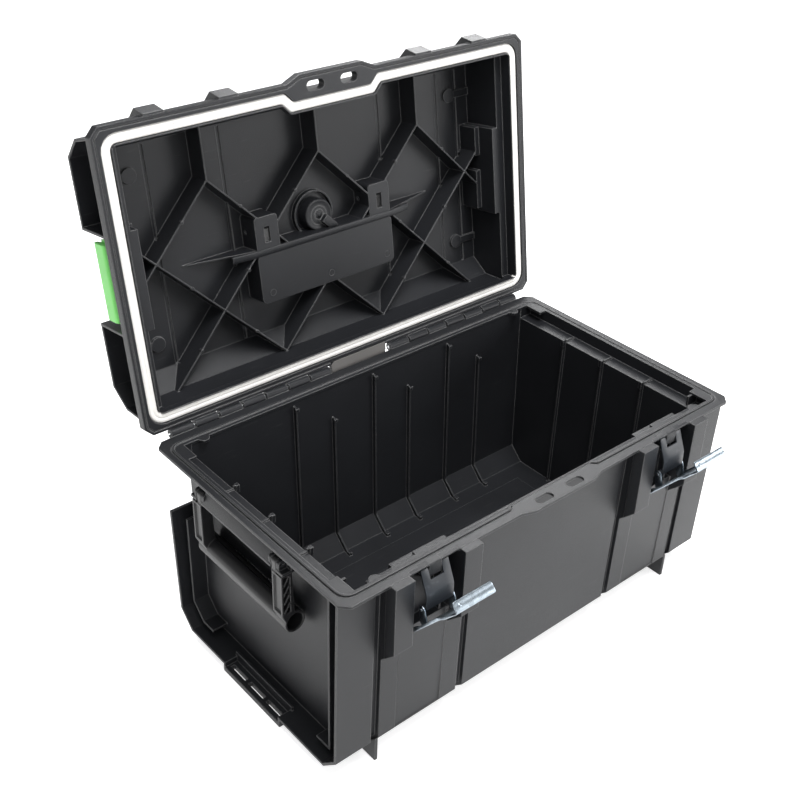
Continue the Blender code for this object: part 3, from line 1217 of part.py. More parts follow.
# Latches
def build_strap(name, material, side):
    """Bent strap with an open window, hinged on the boss and rolled round the lever's pin."""
    middle = side * LATCH_X
    carrier = pivot(name + "_axis", (middle, -STRAP_PIVOT_Y, STRAP_PIVOT_Z))
    path = [
        (-STRAP_PIVOT_Y - EYE + STRAP_PLATE, STRAP_PIVOT_Z), (-STRAP_BEND_Y, STRAP_BEND_Z),
        (-LEVER_PIVOT_Y - EYE + STRAP_PLATE, LEVER_PIVOT_Z),
    ]
    body = prism("X", strip(path, -STRAP_PLATE), (middle - STRAP_HALF, middle + STRAP_HALF))
    join(body, rod("X", (0.0, -STRAP_PIVOT_Y, STRAP_PIVOT_Z), EYE, (middle - STRAP_HALF, middle + STRAP_HALF)))
    join(body, rod("X", (0.0, -LEVER_PIVOT_Y, LEVER_PIVOT_Z), EYE, (middle - STRAP_HALF, middle + STRAP_HALF)))
    reach = EYE * 3.0
    cut(body, box((middle - STRAP_WINDOW_HALF, middle + STRAP_WINDOW_HALF),
                  (-STRAP_BEND_Y - reach, -STRAP_PIVOT_Y + reach), (STRAP_WINDOW_FOOT, RIM_TOP + OVERRUN)))
    for y, z in ((STRAP_PIVOT_Y, STRAP_PIVOT_Z), (LEVER_PIVOT_Y, LEVER_PIVOT_Z)):
        cut(body, rod("X", (0.0, -y, z), LATCH_PIN + CLEAR,
                      (middle - STRAP_HALF - OVERRUN, middle + STRAP_HALF + OVERRUN)))
    finish(body, name, material, carrier)
    return carrier


def lever_section():
    """The lever's bent plate in (y, z): root, step, and a lip rolled back over its front."""
    lip = LEVER_CHANNEL
    return strip([
        (-LEVER_ROOT_Y, LEVER_ROOT_Z), (-LEVER_STEP_Y, LEVER_STEP_Z), (-LEVER_TIP_Y, LEVER_TIP_Z),
        (-LEVER_TIP_Y - lip / 2.0, LEVER_TIP_Z + LEVER_PLATE / 2.0), (-LEVER_TIP_Y - lip, LEVER_TIP_Z - lip / 2.0),
        (-LEVER_TIP_Y - lip + LEVER_PLATE / 2.0, LEVER_TIP_Z - lip),
    ], LEVER_PLATE)


def build_lever(name, material, side, carrier):
    """Pressed lever: tapered plate with a rolled lip, side ears on the pin and a swage down the middle."""
    middle = side * LATCH_X
    axis = pivot(name + "_axis", (middle, -LEVER_PIVOT_Y, LEVER_PIVOT_Z), None, carrier)
    body = prism("X", lever_section(), (middle - LEVER_ROOT_HALF, middle + LEVER_ROOT_HALF))
    edge = LEVER_ROOT_HALF + OVERRUN
    low, high = LEVER_ROOT_Z - OVERRUN, LEVER_TIP_Z + OVERRUN
    taper = LEVER_ROOT_Z + (LEVER_STEP_Z - LEVER_ROOT_Z) / 2.0
    for way in (-1.0, 1.0):
        trim = [
            (middle + way * edge, low), (middle + way * (LEVER_ROOT_HALF - SINK), taper),
            (middle + way * LEVER_TIP_HALF, LEVER_STEP_Z), (middle + way * LEVER_TIP_HALF, high),
            (middle + way * edge, high),
        ]
        cut(body, prism("Y", trim, (-LEVER_TIP_Y - LEVER_CHANNEL - OVERRUN, -LEVER_ROOT_Y + OVERRUN)))
    inner = STRAP_HALF + RUNNING
    ear = [
        (-LEVER_PIVOT_Y + EYE, LEVER_EAR_TOP_Z), (-LEVER_PIVOT_Y - EYE, LEVER_EAR_TOP_Z),
        (-LEVER_STEP_Y + SINK, LEVER_STEP_Z - SINK), (-LEVER_ROOT_Y - SINK, LEVER_ROOT_Z + SINK),
        (-LEVER_PIVOT_Y + EYE, LEVER_PIVOT_Z - EYE * 2.0),
    ]
    for way in (-1.0, 1.0):
        join(body, prism("X", ear, (middle + way * inner, middle + way * (inner + LEVER_EAR))))
    slope = Vector((LEVER_STEP_Y - LEVER_ROOT_Y, LEVER_STEP_Z - LEVER_ROOT_Z)).normalized()
    out = Vector((-slope.y, -slope.x)) * LEVER_BEAD
    along = Vector((-slope.x, slope.y))
    start = Vector((-LEVER_ROOT_Y, LEVER_ROOT_Z)) + along * LEVER_CHANNEL
    stop = Vector((-LEVER_STEP_Y, LEVER_STEP_Z)) - along * LEVER_CHANNEL / 2.0
    web = [tuple(start), tuple(stop), tuple(stop - along * LEVER_BEAD + out), tuple(start + along * LEVER_BEAD + out)]
    web = [(y, z) for y, z in web]
    sunk = [(y - out.x * SINK / LEVER_BEAD, z - out.y * SINK / LEVER_BEAD) for y, z in web[:2]] + web[2:]
    for way in (-1.0, 1.0):
        near = middle + way * LEVER_WEB_HALF
        join(body, prism("X", sunk, (near, near + way * LEVER_BEAD)))
    cut(body, rod("X", (0.0, -LEVER_PIVOT_Y, LEVER_PIVOT_Z), LATCH_PIN + CLEAR,
                  (middle - edge, middle + edge)))
    return finish(body, name, material, axis)


def build_latches(strap_material, lever_material, pin_material):
    for word, side in (("left", -1.0), ("right", 1.0)):
        carrier = build_strap("latch_strap_" + word, strap_material, side)
        build_lever("latch_lever_" + word, lever_material, side, carrier)
        middle = side * LATCH_X
        half = STRAP_HALF
        finish(rod("X", (0.0, -STRAP_PIVOT_Y, STRAP_PIVOT_Z), LATCH_PIN, (middle - half, middle + half)),
               "strap_pin_" + word, pin_material)
        half = STRAP_HALF + RUNNING + LEVER_EAR + PIN_PROUD
        finish(rod("X", (0.0, -LEVER_PIVOT_Y, LEVER_PIVOT_Z), LATCH_PIN, (middle - half, middle + half)),
               "lever_pin_" + word, pin_material, carrier)


# Side handles
def handle_arm_centres(inset=0.0):
    """The y of each arm, or with an inset the y of the tongues that the beam's notches and ears follow."""
    half = (HANDLE_SPAN - HANDLE_ARM_WIDE) / 2.0 - inset
    return HANDLE_Y - half, HANDLE_Y + half


def handle_outline():
    """One arm in (x, z): hub, tongue, shoulders and the leaning arm down to the grip."""
    shoulder = HANDLE_PIVOT_Z - HANDLE_SHOULDER
    inner = HANDLE_ARM_OUT - HANDLE_ARM_THICK
    foot = GRIP_Z
    return [
        (HANDLE_ARM_OUT, shoulder), (HANDLE_ARM_OUT, GRIP_Z + GRIP_TALL / 2.0),
        (GRIP_X + GRIP_WIDE / 2.0 - GRIP_WALL, foot), (GRIP_X - GRIP_WIDE / 2.0 + GRIP_WALL, foot),
        (inner - GRIP_WALL, GRIP_Z + GRIP_TALL / 2.0), (inner, shoulder),
    ]


def truss_pockets(side, face, deep):
    """Triangular pockets that leave a zigzag of ribs on an arm's end face."""
    shoulder = HANDLE_PIVOT_Z - HANDLE_SHOULDER
    outer = HANDLE_ARM_OUT - GRIP_WALL
    inner = HANDLE_ARM_OUT - HANDLE_ARM_THICK + GRIP_WALL
    top = shoulder - GRIP_WALL
    low = GRIP_Z + GRIP_TALL / 2.0 + GRIP_WALL
    pitch = (top - low) / TRUSS_BAYS
    gap = TRUSS_RIB
    for index in range(TRUSS_BAYS):
        high = top - pitch * index
        foot = high - pitch
        yield [(side * outer, high), (side * (inner + gap), high), (side * outer, foot + gap)], (face, deep)
        yield [(side * inner, high - gap), (side * (outer - gap), foot), (side * inner, foot)], (face, deep)


def build_side_handle(word, side, material, pin_material):
    """Drop handle: hollow oval grip open at both ends between two trussed arms."""
    name = "side_handle_" + word
    axis = pivot(name + "_axis", (side * HANDLE_PIVOT_X, HANDLE_Y, HANDLE_PIVOT_Z))
    ends = (HANDLE_Y - HANDLE_SPAN / 2.0, HANDLE_Y + HANDLE_SPAN / 2.0)
    oval = [(side * (GRIP_X + math.cos(angle) * GRIP_WIDE / 2.0), GRIP_Z + math.sin(angle) * GRIP_TALL / 2.0)
            for angle in (2.0 * math.pi * step / ROUND for step in range(ROUND))]
    body = prism("Y", oval, ends)
    shoulder = HANDLE_PIVOT_Z - HANDLE_SHOULDER
    for arm, root in zip(handle_arm_centres(), handle_arm_centres(TONGUE_INSET)):
        half = HANDLE_ARM_WIDE / 2.0
        join(body, prism("Y", [(side * x, z) for x, z in handle_outline()], (arm - half, arm + half)))
        tongue = HANDLE_TONGUE / 2.0
        lug = [
            (HANDLE_PIVOT_X + HANDLE_HUB * math.cos(angle), HANDLE_PIVOT_Z + HANDLE_HUB * math.sin(angle))
            for angle in (math.pi * step / SMALL_ROUND for step in range(SMALL_ROUND + 1))
        ] + [(HANDLE_PIVOT_X - HANDLE_HUB, shoulder - SINK), (HANDLE_PIVOT_X + HANDLE_HUB, shoulder - SINK)]
        join(body, prism("Y", [(side * x, z) for x, z in lug], (root - tongue, root + tongue)))
        cut(body, rod("Y", (side * HANDLE_PIVOT_X, 0.0, HANDLE_PIVOT_Z), HANDLE_PIN + CLEAR,
                      (root - half, root + half)))
        channel = half - GRIP_WALL
        cut(body, box((side * (HANDLE_ARM_OUT - ARM_CHANNEL_DEEP / 2.0), side * (HANDLE_ARM_OUT + OVERRUN)),
                      (arm - channel, arm + channel), (GRIP_Z + GRIP_TALL / 2.0 + GRIP_WALL, shoulder - GRIP_WALL)))
    hollow = [(side * GRIP_X + (x - side * GRIP_X) * (1.0 - 2.0 * GRIP_WALL / GRIP_WIDE),
               GRIP_Z + (z - GRIP_Z) * (1.0 - 2.0 * GRIP_WALL / GRIP_TALL)) for x, z in oval]
    cut(body, prism("Y", hollow, (ends[0] - OVERRUN, ends[1] + OVERRUN)))
    for end, way in ((ends[0], 1.0), (ends[1], -1.0)):
        for outline, span in truss_pockets(side, end - way * OVERRUN, end + way * TRUSS_DEEP):
            cut(body, prism("Y", outline, span))
    finish(body, name, material, axis)
    for end, arm in zip(("front", "back"), handle_arm_centres(TONGUE_INSET)):
        reach = HANDLE_TONGUE / 2.0 + EAR_GAP + EAR
        finish(rod("Y", (side * HANDLE_PIVOT_X, 0.0, HANDLE_PIVOT_Z), HANDLE_PIN, (arm - reach, arm + reach)),
               "handle_pin_" + word + "_" + end, pin_material)


# Side locks and top handle
def build_side_lock(word, side, material, lid_axis):
    """Lock bar between the pockets: round hub on two journals with an upright, hooked grip plate."""
    name = "side_lock_" + word
    axis = pivot(name + "_axis", (side * LOCK_AXIS_X, 0.0, LOCK_AXIS_Z), None, lid_axis)
    low = LOCK_AXIS_Z - LOCK_HUB
    high = low + LOCK_TALL + LOCK_HUB
    outline = fillet([
        (LOCK_AXIS_X - LOCK_HUB, low), (LOCK_OUT, low), (LOCK_OUT, high), (LOCK_OUT - LOCK_PLATE, high),
        (LOCK_OUT - LOCK_PLATE - LOCK_GRIP, LOCK_AXIS_Z + LOCK_HUB), (LOCK_AXIS_X - LOCK_HUB, LOCK_AXIS_Z + LOCK_HUB),
    ], [LOCK_HUB * 0.8, LOCK_HUB * 0.8, LOCK_GRIP, LOCK_GRIP, 0.0, LOCK_HUB * 0.8])
    body = prism("Y", [(side * x, z) for x, z in outline], (-LOCK_HALF, LOCK_HALF))
    end = LOCK_HALF + LOCK_JOURNAL_LONG
    join(body, rod("Y", (side * LOCK_AXIS_X, 0.0, LOCK_AXIS_Z), LOCK_JOURNAL, (-end, end)))
    for way in (-1.0, 1.0):
        near = way * (LOCK_HALF - LOCK_JOURNAL_LONG / 2.0)
        cut(body, box((side * (LOCK_AXIS_X + LOCK_JOURNAL), side * (LOCK_OUT + OVERRUN)),
                      (near, way * (LOCK_HALF + OVERRUN)), (low - OVERRUN, high + OVERRUN)))
    return finish(body, name, material, axis)


def build_top_handle(material, pin_material, lid_axis):
    """Carry handle in the lid's recess: two arms and a rounded grip, hanging a little out of the recess."""
    axis = pivot("top_handle_axis", (0.0, TOP_PIVOT_Y, TOP_PIVOT_Z), (TOP_HANG, 0.0, 0.0), lid_axis)
    arm_z = (TOP_PIVOT_Z - TOP_ARM_THICK / 2.0, TOP_PIVOT_Z + TOP_ARM_THICK / 2.0)
    grip_z = (TOP_PIVOT_Z - TOP_GRIP_THICK / 2.0, TOP_PIVOT_Z + TOP_GRIP_THICK / 2.0)
    grip_y = (TOP_GRIP_Y - TOP_GRIP_WIDE / 2.0, TOP_GRIP_Y + TOP_GRIP_WIDE / 2.0)
    section = fillet([(grip_y[0], grip_z[0]), (grip_y[1], grip_z[0]), (grip_y[1], grip_z[1]),
                      (grip_y[0], grip_z[1])], TOP_GRIP_THICK / 3.0)
    body = prism("X", section, (-TOP_GRIP_HALF, TOP_GRIP_HALF))
    for side in (-1.0, 1.0):
        x = side * TOP_ARM_X
        half = TOP_ARM_WIDE / 2.0
        join(body, box((x - half, x + half), (TOP_PIVOT_Y, TOP_GRIP_Y), arm_z))
        join(body, rod("X", (0.0, TOP_PIVOT_Y, TOP_PIVOT_Z), TOP_ARM_THICK / 2.0, (x - half, x + half)))
        cut(body, rod("X", (0.0, TOP_PIVOT_Y, TOP_PIVOT_Z), TOP_PIN + CLEAR, (x - half * 2.0, x + half * 2.0)))
    finish(body, "top_handle", material, axis)
    for word, side in (("left", -1.0), ("right", 1.0)):
        x = side * PIVOT_BOX_X
        reach = PIVOT_BOX_HALF - CLEAR
        finish(rod("X", (0.0, TOP_PIVOT_Y, TOP_PIVOT_Z), TOP_PIN, (x - reach, x + reach)),
               "top_handle_pin_" + word, pin_material, lid_axis)


def main():
    clear_scene()
    add_collection("stackable_toolbox")
    work = add_collection("work")
    plastic = add_material("charcoal_plastic", (0.042, 0.042, 0.046), 0.62)
    black = add_material("black_plastic", (0.012, 0.012, 0.013), 0.45)
    foam = add_material("seal_foam", (0.86, 0.83, 0.78), 0.85)
    green = add_material("green_plastic", (0.11, 0.75, 0.10), 0.45)
    zinc = add_material("zinc_plated_steel", (0.42, 0.47, 0.50), 0.32, 1.0)
    painted = add_material("dark_painted_steel", (0.035, 0.036, 0.040), 0.50, 0.3)
    steel = add_material("bright_steel", (0.60, 0.61, 0.63), 0.25, 1.0)
    plate = add_material("grey_plate", (0.32, 0.32, 0.30), 0.55)

    build_bin(plastic)
    lid_axis = pivot("lid_hinge_axis", (0.0, HINGE_Y, HINGE_Z), (-OPEN_ANGLE, 0.0, 0.0))
    build_lid(plastic, lid_axis)
    build_seal(foam, lid_axis)
    build_cover_plate(plate, lid_axis)
    build_hinge_pins(steel, lid_axis)
    build_vent_plug(plastic, lid_axis)
    build_latches(painted, zinc, steel)
    for word, side in (("left", -1.0), ("right", 1.0)):
        build_side_handle(word, side, black, steel)
        build_side_lock(word, side, green, lid_axis)
    build_top_handle(black, steel, lid_axis)
    bpy.data.collections.remove(work)


main()
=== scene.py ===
"""The look of a stackable toolbox with an open lid: moulded shells, foam seal, latches, handles and locks.

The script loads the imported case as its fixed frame, gives every moulding a rounded edge and its own
finish, models the soft and pressed parts, and sets a plain studio round it.
"""

import json
import math

import bpy
from mathutils import Matrix, Vector


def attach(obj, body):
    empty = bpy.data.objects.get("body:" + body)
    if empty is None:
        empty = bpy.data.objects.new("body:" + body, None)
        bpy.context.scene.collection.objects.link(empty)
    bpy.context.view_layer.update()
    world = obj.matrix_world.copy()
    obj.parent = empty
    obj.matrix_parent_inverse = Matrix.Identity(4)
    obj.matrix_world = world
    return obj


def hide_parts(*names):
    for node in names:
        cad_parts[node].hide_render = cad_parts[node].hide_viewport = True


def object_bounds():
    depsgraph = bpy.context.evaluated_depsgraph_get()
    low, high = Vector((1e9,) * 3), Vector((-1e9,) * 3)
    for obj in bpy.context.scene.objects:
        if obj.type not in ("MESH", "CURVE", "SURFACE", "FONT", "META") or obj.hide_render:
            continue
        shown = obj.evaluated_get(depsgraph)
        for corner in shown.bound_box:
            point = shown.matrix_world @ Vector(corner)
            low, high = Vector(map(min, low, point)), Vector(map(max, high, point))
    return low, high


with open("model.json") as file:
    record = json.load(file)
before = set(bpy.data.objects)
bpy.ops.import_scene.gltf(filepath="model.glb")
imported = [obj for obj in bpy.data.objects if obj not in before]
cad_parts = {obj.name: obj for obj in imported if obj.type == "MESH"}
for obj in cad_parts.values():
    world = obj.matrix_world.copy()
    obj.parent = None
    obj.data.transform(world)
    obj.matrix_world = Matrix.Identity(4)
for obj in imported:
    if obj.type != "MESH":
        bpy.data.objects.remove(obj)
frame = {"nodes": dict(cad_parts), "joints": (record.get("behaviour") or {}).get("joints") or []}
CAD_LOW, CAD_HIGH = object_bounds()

bl_info = {
    "name": "Stackable toolbox",
    "version": (1, 0, 0),
    "blender": (4, 5, 0),
    "location": "View3D > Sidebar > Toolbox",
    "description": "Dresses the stackable toolbox and sets its studio",
    "category": "Object",
}

MM = 0.001
NODES = frame["nodes"]
JOINTS = {joint["name"]: joint for joint in frame["joints"]}

# The lid is drawn shut in the plans and stands open here, turned back about the hinge.
HINGE = Vector(JOINTS["lid_hinge"]["pos_m"])
OPEN = math.radians(JOINTS["lid_hinge"]["range_deg"][1])
LID = Matrix.Translation(HINGE) @ Matrix.Rotation(-OPEN, 4, "X") @ Matrix.Translation(-HINGE)

# Bin rim: the inner edge of its front, seen straight from end to end.
RIM_TOP = 225.0 * MM
RIM_INNER = 140.5 * MM
LAND_EDGE = 136.9 * MM
RIM_SPAN = (-232.0 * MM, 232.0 * MM)
JOG_SPAN = (-66.0 * MM, 66.0 * MM)
RIDGE_SPAN = (-56.5 * MM, 56.5 * MM)
LAND_LAP = 0.4 * MM        # how far the land runs under the moulded rim's edge
LAND_FOOT = 3.3 * MM
LAND_DROP = 0.15 * MM      # its top lies just under the rim's, so that the two never share a face
RIDGE_BACK = (3.6 * MM, 1.2 * MM)
RIDGE_ROOT = 0.5 * MM
RIDGE_HEIGHT = 0.3 * MM    # low enough for the shut lid to clear it
BRIDGE_HALF = 28.7 * MM    # upper plate of the rim, unbroken ahead of each latch
BRIDGE_RUN = (-155.8 * MM, -146.6 * MM)
BRIDGE_FOOT = 1.9 * MM
BRIDGE_DROP = 0.1 * MM
CLEAR_DEPTH = 12 * MM      # block that clears the moulded ridge where it would bridge the opening
CLEAR_FOOT = 8 * MM
CLEAR_HEAD = 6 * MM

# Side bands: section in (x, z) millimetres, and their run along y between the handle's arms.
BAND_SECTION = ((258.6, 221.9), (261.6, 221.9), (268.8, 201.6), (268.8, 199.0), (258.6, 199.0))
BAND_RUN = (-42.0 * MM, 70.0 * MM)

# Foam seal: its outer edge with the lid shut, and its section as (inset, proud of its face) in millimetres.
SEAL_HALF_WIDTH = 266.5 * MM
SEAL_FRONT = 149.4 * MM
SEAL_BACK = 147.3 * MM
SEAL_RADIUS = 17.0 * MM
SEAL_JOG_HALF = 50.0 * MM
SEAL_JOG = 10.0 * MM
SEAL_JOG_RADIUS = 5 * MM
SEAL_FACE = 227.45 * MM
SEAL_SECTION = ((0.0, -4.9), (0.0, -0.9), (0.35, -0.15), (1.2, 0.35), (2.6, 0.60), (4.1, 0.50), (4.7, 0.15),
                (5.1, 0.0), (5.5, 0.15), (6.1, 0.50), (7.6, 0.60), (9.0, 0.35), (9.85, -0.15), (10.2, -0.9),
                (10.2, -4.9))

# Latches: sections in (y, z) millimetres, the lever standing open ahead of its strap.
LATCH_X = 166.7 * MM
STRAP_HALF = 16.5 * MM
STRAP_WINDOW = 8.0 * MM
STRAP_WINDOW_FOOT = 209.5 * MM
STRAP_PLATE = 1.8 * MM
STRAP_PATH = ((-153.4, 220.9), (-155.4, 216.0), (-158.0, 209.5), (-162.4, 199.4), (-163.0, 197.6),
              (-163.3, 190.0), (-163.4, 181.6))
LEVER_PLATE = 1.3 * MM
LEVER_PATH = ((-160.6, 158.0, 26.6, 1.2), (-161.6, 159.3, 27.5, 4.6), (-166.9, 165.6, 27.5, 4.2),
              (-169.5, 168.7, 27.5, 3.0), (-191.6, 195.2, 27.5, 3.0), (-193.0, 196.4, 26.2, 2.4),
              (-195.6, 197.0, 23.6, 2.4), (-203.2, 205.8, 23.6, 2.2), (-208.4, 211.6, 23.6, 0.6),
              (-210.0, 213.9, 23.4, 0.0), (-209.9, 215.4, 23.4, 0.0), (-208.9, 216.6, 23.4, 0.0),
              (-208.3, 217.6, 23.4, 0.0), (-207.0, 218.5, 23.4, 0.0), (-205.6, 220.1, 23.4, 0.0),
              (-204.5, 221.4, 23.2, 0.0), (-203.5, 222.3, 22.8, 0.0),
              (-202.4, 221.9, 22.4, 0.0), (-202.2, 220.9, 22.2, 0.0))
FLANGE_ROUND = 0.9         # the tray's corner, where its floor turns up into the flange
GRIP_TOP = (-203.5, 222.3)
GRIP_FOOT = (-209.9, 215.4)
PIP_X = 17.0 * MM
PIP_PROFILE = ((0.0, -0.6), (2.2, -0.6), (2.0, 0.15), (1.5, 0.55), (0.8, 0.8), (0.0, 0.85))
PIP_STEPS = 24
EYE_OUTER = 3.0 * MM
EYE_BORE = 1.55 * MM
EYE_STEPS = 28
EAR_INNER = 17.3 * MM
EAR_PLATE = 1.3 * MM
LEVER_EAR = ((-157.0, 178.6), (-156.7, 182.2), (-158.4, 184.7), (-161.2, 185.4), (-163.9, 184.2),
             (-165.8, 180.8), (-168.6, 170.2), (-163.2, 162.6), (-160.0, 164.4), (-158.2, 172.0))

# Lid: the arch shelf's lip across the feet of the pivot boxes, and the ejector marks on the recess.
RIB_TOP = 263.7 * MM
ARCH_SECTION = ((15.2, 262.4), (18.4, 262.2), (22.6, 263.2), (22.6, 265.2), (15.2, 266.0))
ARCH_ENDS = ((-122.0 * MM, 4.0), (-96.0 * MM, 0.0), (96.0 * MM, 0.0), (122.0 * MM, 4.0))
WITNESS_X = (-79.0 * MM, 1.4 * MM, 83.0 * MM)
WITNESS_Y = 65.8 * MM
WITNESS_PROFILE = ((3.3, 0.3), (3.5, -0.25), (3.8, -0.3), (4.1, 0.3), (3.3, 0.3))
WITNESS_STEPS = 32

# Vent plug: its face with the lid shut, and its profile as (radius, height) in millimetres.
PLUG_FACE = 275.5 * MM
PLUG_PROFILE = ((0.0, -1.9), (1.1, -1.75), (1.9, -1.2), (2.5, -0.3), (3.0, 0.0), (5.0, 0.0), (5.4, -0.5),
                (6.2, -0.5), (6.6, 0.0), (10.0, 0.0), (10.3, 0.3), (10.9, 0.3), (11.2, 0.0), (14.6, 0.0), (15.4, -0.5),
                (16.6, -0.5), (17.4, -0.1), (17.9, 0.8), (18.0, 2.0), (18.0, 14.9), (0.0, 14.9))
LUG_NEAR = 5 * MM
LUG_FAR = 25.5 * MM
LUG_HALF = 5 * MM
LUG_ROOT_RADIUS = 0.5 * MM
LUG_TIP_RADIUS = 4.2 * MM
LUG_RISE = 6.5 * MM
LUG_SINK = 1 * MM
LUG_TURN = math.radians(45.0)

# Rounding of each made or moulded piece's edges, in millimetres.
ROUNDING = {"band": 0.6, "land": 0.5, "ridge": 0.4, "bridge": 0.4, "strap": 0.25, "eye": 0.2, "tray": 0.22,
            "ear": 0.3, "lug": 0.8, "arch": 0.7, "top_handle": 0.9, "side_handle": 0.6, "side_lock": 0.6}
WELD = 0.02 * MM           # loose triangles of a moulding are merged within this
SEAM = 0.002 * MM          # a skin's own seam is merged within this

# Moulded finishes: colour, roughness, share of the grain's size, its lift in millimetres, share of the painted
# edge highlight's reach, how pale the painted highlight and scuffs go, strength of the scuffs, specular level.
MOULDED = {
    "moulded_polypropylene_charcoal": ("shell", 0.41, 1.0, 0.20, 1.0, 0.60, 0.05, 0.33),
    "moulded_nylon_black": ("handle", 0.38, 0.8, 0.08, 1.0, 0.35, 0.06, 0.5),
    "moulded_abs_green": ("lock", 0.38, 0.8, 0.03, 1.0, 0.05, 0.03, 0.5),
    "moulded_cover_plate_grey": ("plate", 0.55, 0.7, 0.03, 0.5, 0.10, 0.04, 0.5),
}
# Plated finishes: colour, how far it dulls in patches, roughness, patch size in millimetres, and how the
# drawing lines are packed along x, y and z.
PLATED = {
    "zinc_plated_pressed_steel": ("zinc", 0.62, 0.30, 5.0, (1.0, 7.0, 7.0)),
    "bright_drawn_steel": ("pin", 0.80, 0.24, 4.0, (0.2, 4.0, 4.0)),
}
COATED_ROUGHNESS = 0.40

# Studio: each lamp's name, its setting, its place, what it faces and its width, in metres.
LAMPS = (("key_softbox", "key", (2.4, -2.5, 0.95), (0.0, 0.0, 0.28), 1.5),
         ("rim_softbox", "rim", (1.0, 1.0, 1.55), (-0.05, -0.10, 0.22), 1.0),
         ("top_softbox", "top", (0.0, -0.5, 2.4), (0.0, 0.0, 0.25), 1.4),
         ("fill_softbox", "fill", (-1.3, -1.6, 1.9), (0.0, 0.0, 0.25), 1.6))
FLOOR_SIZE = 14.0
FLOOR_GLOW = 0.72          # lifts the paper to white for the camera, and where gloss or glass shows it
WHITE = (1.0, 1.0, 1.0, 1.0)

# Camera: place in metres; yaw, pitch down and roll in radians; lens, sensor and clipping.
CAMERA_PLACE = Vector((-0.72374, -0.73184, 0.90925))
CAMERA_TURN = (0.7229345820, 0.5711525555, 0.0345458896)
CAMERA_LENS = 52.575
CAMERA_SENSOR = 36.0
CAMERA_CLIP = (0.05, 40.0)


# Colours and nodes

def linear(code):
    """An sRGB hex colour as linear values for a shader."""
    values = [int(code[i:i + 2], 16) / 255.0 for i in (1, 3, 5)]
    return tuple(v / 12.92 if v <= 0.04045 else ((v + 0.055) / 1.055) ** 2.4 for v in values)


def add(tree, kind, links=None, **settings):
    """Add a node with its settings; each link is a socket to join or a value to set."""
    node = tree.nodes.new(kind)
    for name, value in settings.items():
        setattr(node, name, value)
    for socket, value in (links or {}).items():
        if isinstance(value, bpy.types.NodeSocket):
            tree.links.new(value, node.inputs[socket])
        else:
            node.inputs[socket].default_value = value
    return node


def new_material(name):
    """An empty material with its output, and the object coordinates that its patterns read."""
    material = bpy.data.materials.new(name)
    material.use_nodes = True
    tree = material.node_tree
    tree.nodes.clear()
    output = add(tree, "ShaderNodeOutputMaterial")
    place = add(tree, "ShaderNodeTexCoord").outputs["Object"]
    return material, tree, output, place


def moulded_plastic(name, colour, roughness, grain_mm, grain_lift, edge_mm, highlight_and_wear, scuffs, specular):
    """Injection-moulded plastic: an eroded tool's grain, faint flow clouding, edges painted pale as a highlight and
    fine scuffs.
    """
    material, tree, output, place = new_material(name)
    base = (*colour, 1.0)
    # The pale tone is a painted highlight on the edges, and the paleness of the scuff wear.
    pale = tuple(c + (highlight_tone - c) * highlight_and_wear for c, highlight_tone in zip(colour, linear("#aaaaaa"))) + (1.0,)
    # Flow clouding: the melt cools unevenly, so large panels vary a little over some 90 mm.
    cloud = add(tree, "ShaderNodeTexNoise", {"Vector": place, "Scale": 1.0 / (90 * MM), "Detail": 3.0})
    shade = add(tree, "ShaderNodeMapRange", {"Value": cloud.outputs["Fac"], "From Min": 0.3, "From Max": 0.7,
                                             "To Min": 0.86, "To Max": 1.14})
    tint = add(tree, "ShaderNodeVectorMath", {0: base[:3], "Scale": shade.outputs["Result"]}, operation="SCALE")
    # Eroded grain, drawn coarser than the real 0.3 mm so that it shows.
    grain = add(tree, "ShaderNodeTexNoise", {"Vector": place, "Scale": 1.0 / (grain_mm * MM), "Detail": 2.0,
                                             "Roughness": 0.6})
    # Scuffs: short thin lines, bright where the sheen is rubbed.
    lines = add(tree, "ShaderNodeMapping", {"Vector": place, "Rotation": (0.3, 0.7, 0.5),
                                            "Scale": (1.0, 9.0, 9.0)})
    scratch = add(tree, "ShaderNodeTexNoise", {"Vector": lines.outputs["Vector"], "Scale": 1.0 / (26 * MM),
                                               "Detail": 4.0})
    rubbed = add(tree, "ShaderNodeMapRange", {"Value": scratch.outputs["Fac"], "From Min": 0.66, "From Max": 0.74,
                                              "To Min": 0.0, "To Max": scuffs})
    # Edges: where the rounded normal leaves the face, the colour is painted pale, a painted highlight for the gloss
    # along rounded edges.
    round_edge = add(tree, "ShaderNodeBevel", {"Radius": edge_mm * MM}, samples=4)
    face = add(tree, "ShaderNodeNewGeometry")
    same = add(tree, "ShaderNodeVectorMath", {0: round_edge.outputs["Normal"], 1: face.outputs["Normal"]},
               operation="DOT_PRODUCT")
    edge = add(tree, "ShaderNodeMapRange", {"Value": same.outputs["Value"], "From Min": 0.995, "From Max": 0.80,
                                            "To Min": 0.0, "To Max": 0.85})
    # Painted edge highlight and scuff wear, whichever is the paler.
    highlight_and_scuffs = add(tree, "ShaderNodeMath", {0: edge.outputs["Result"], 1: rubbed.outputs["Result"]},
                operation="MAXIMUM")
    mixed = add(tree, "ShaderNodeMix", {"Factor": highlight_and_scuffs.outputs["Value"], "A": tint.outputs["Vector"],
                                        "B": pale}, data_type="RGBA")
    gloss = add(tree, "ShaderNodeMapRange", {"Value": grain.outputs["Fac"], "From Min": 0.3, "From Max": 0.7,
                                             "To Min": roughness - 0.07, "To Max": roughness + 0.07})
    bump = add(tree, "ShaderNodeBump", {"Strength": 1.0, "Distance": grain_lift * MM,
                                        "Height": grain.outputs["Fac"], "Normal": round_edge.outputs["Normal"]})
    shader = add(tree, "ShaderNodeBsdfPrincipled", {
        "Base Color": mixed.outputs["Result"], "Roughness": gloss.outputs["Result"],
        "Normal": bump.outputs["Normal"], "IOR": 1.49, "Specular IOR Level": specular})
    tree.links.new(shader.outputs["BSDF"], output.inputs["Surface"])
    return material


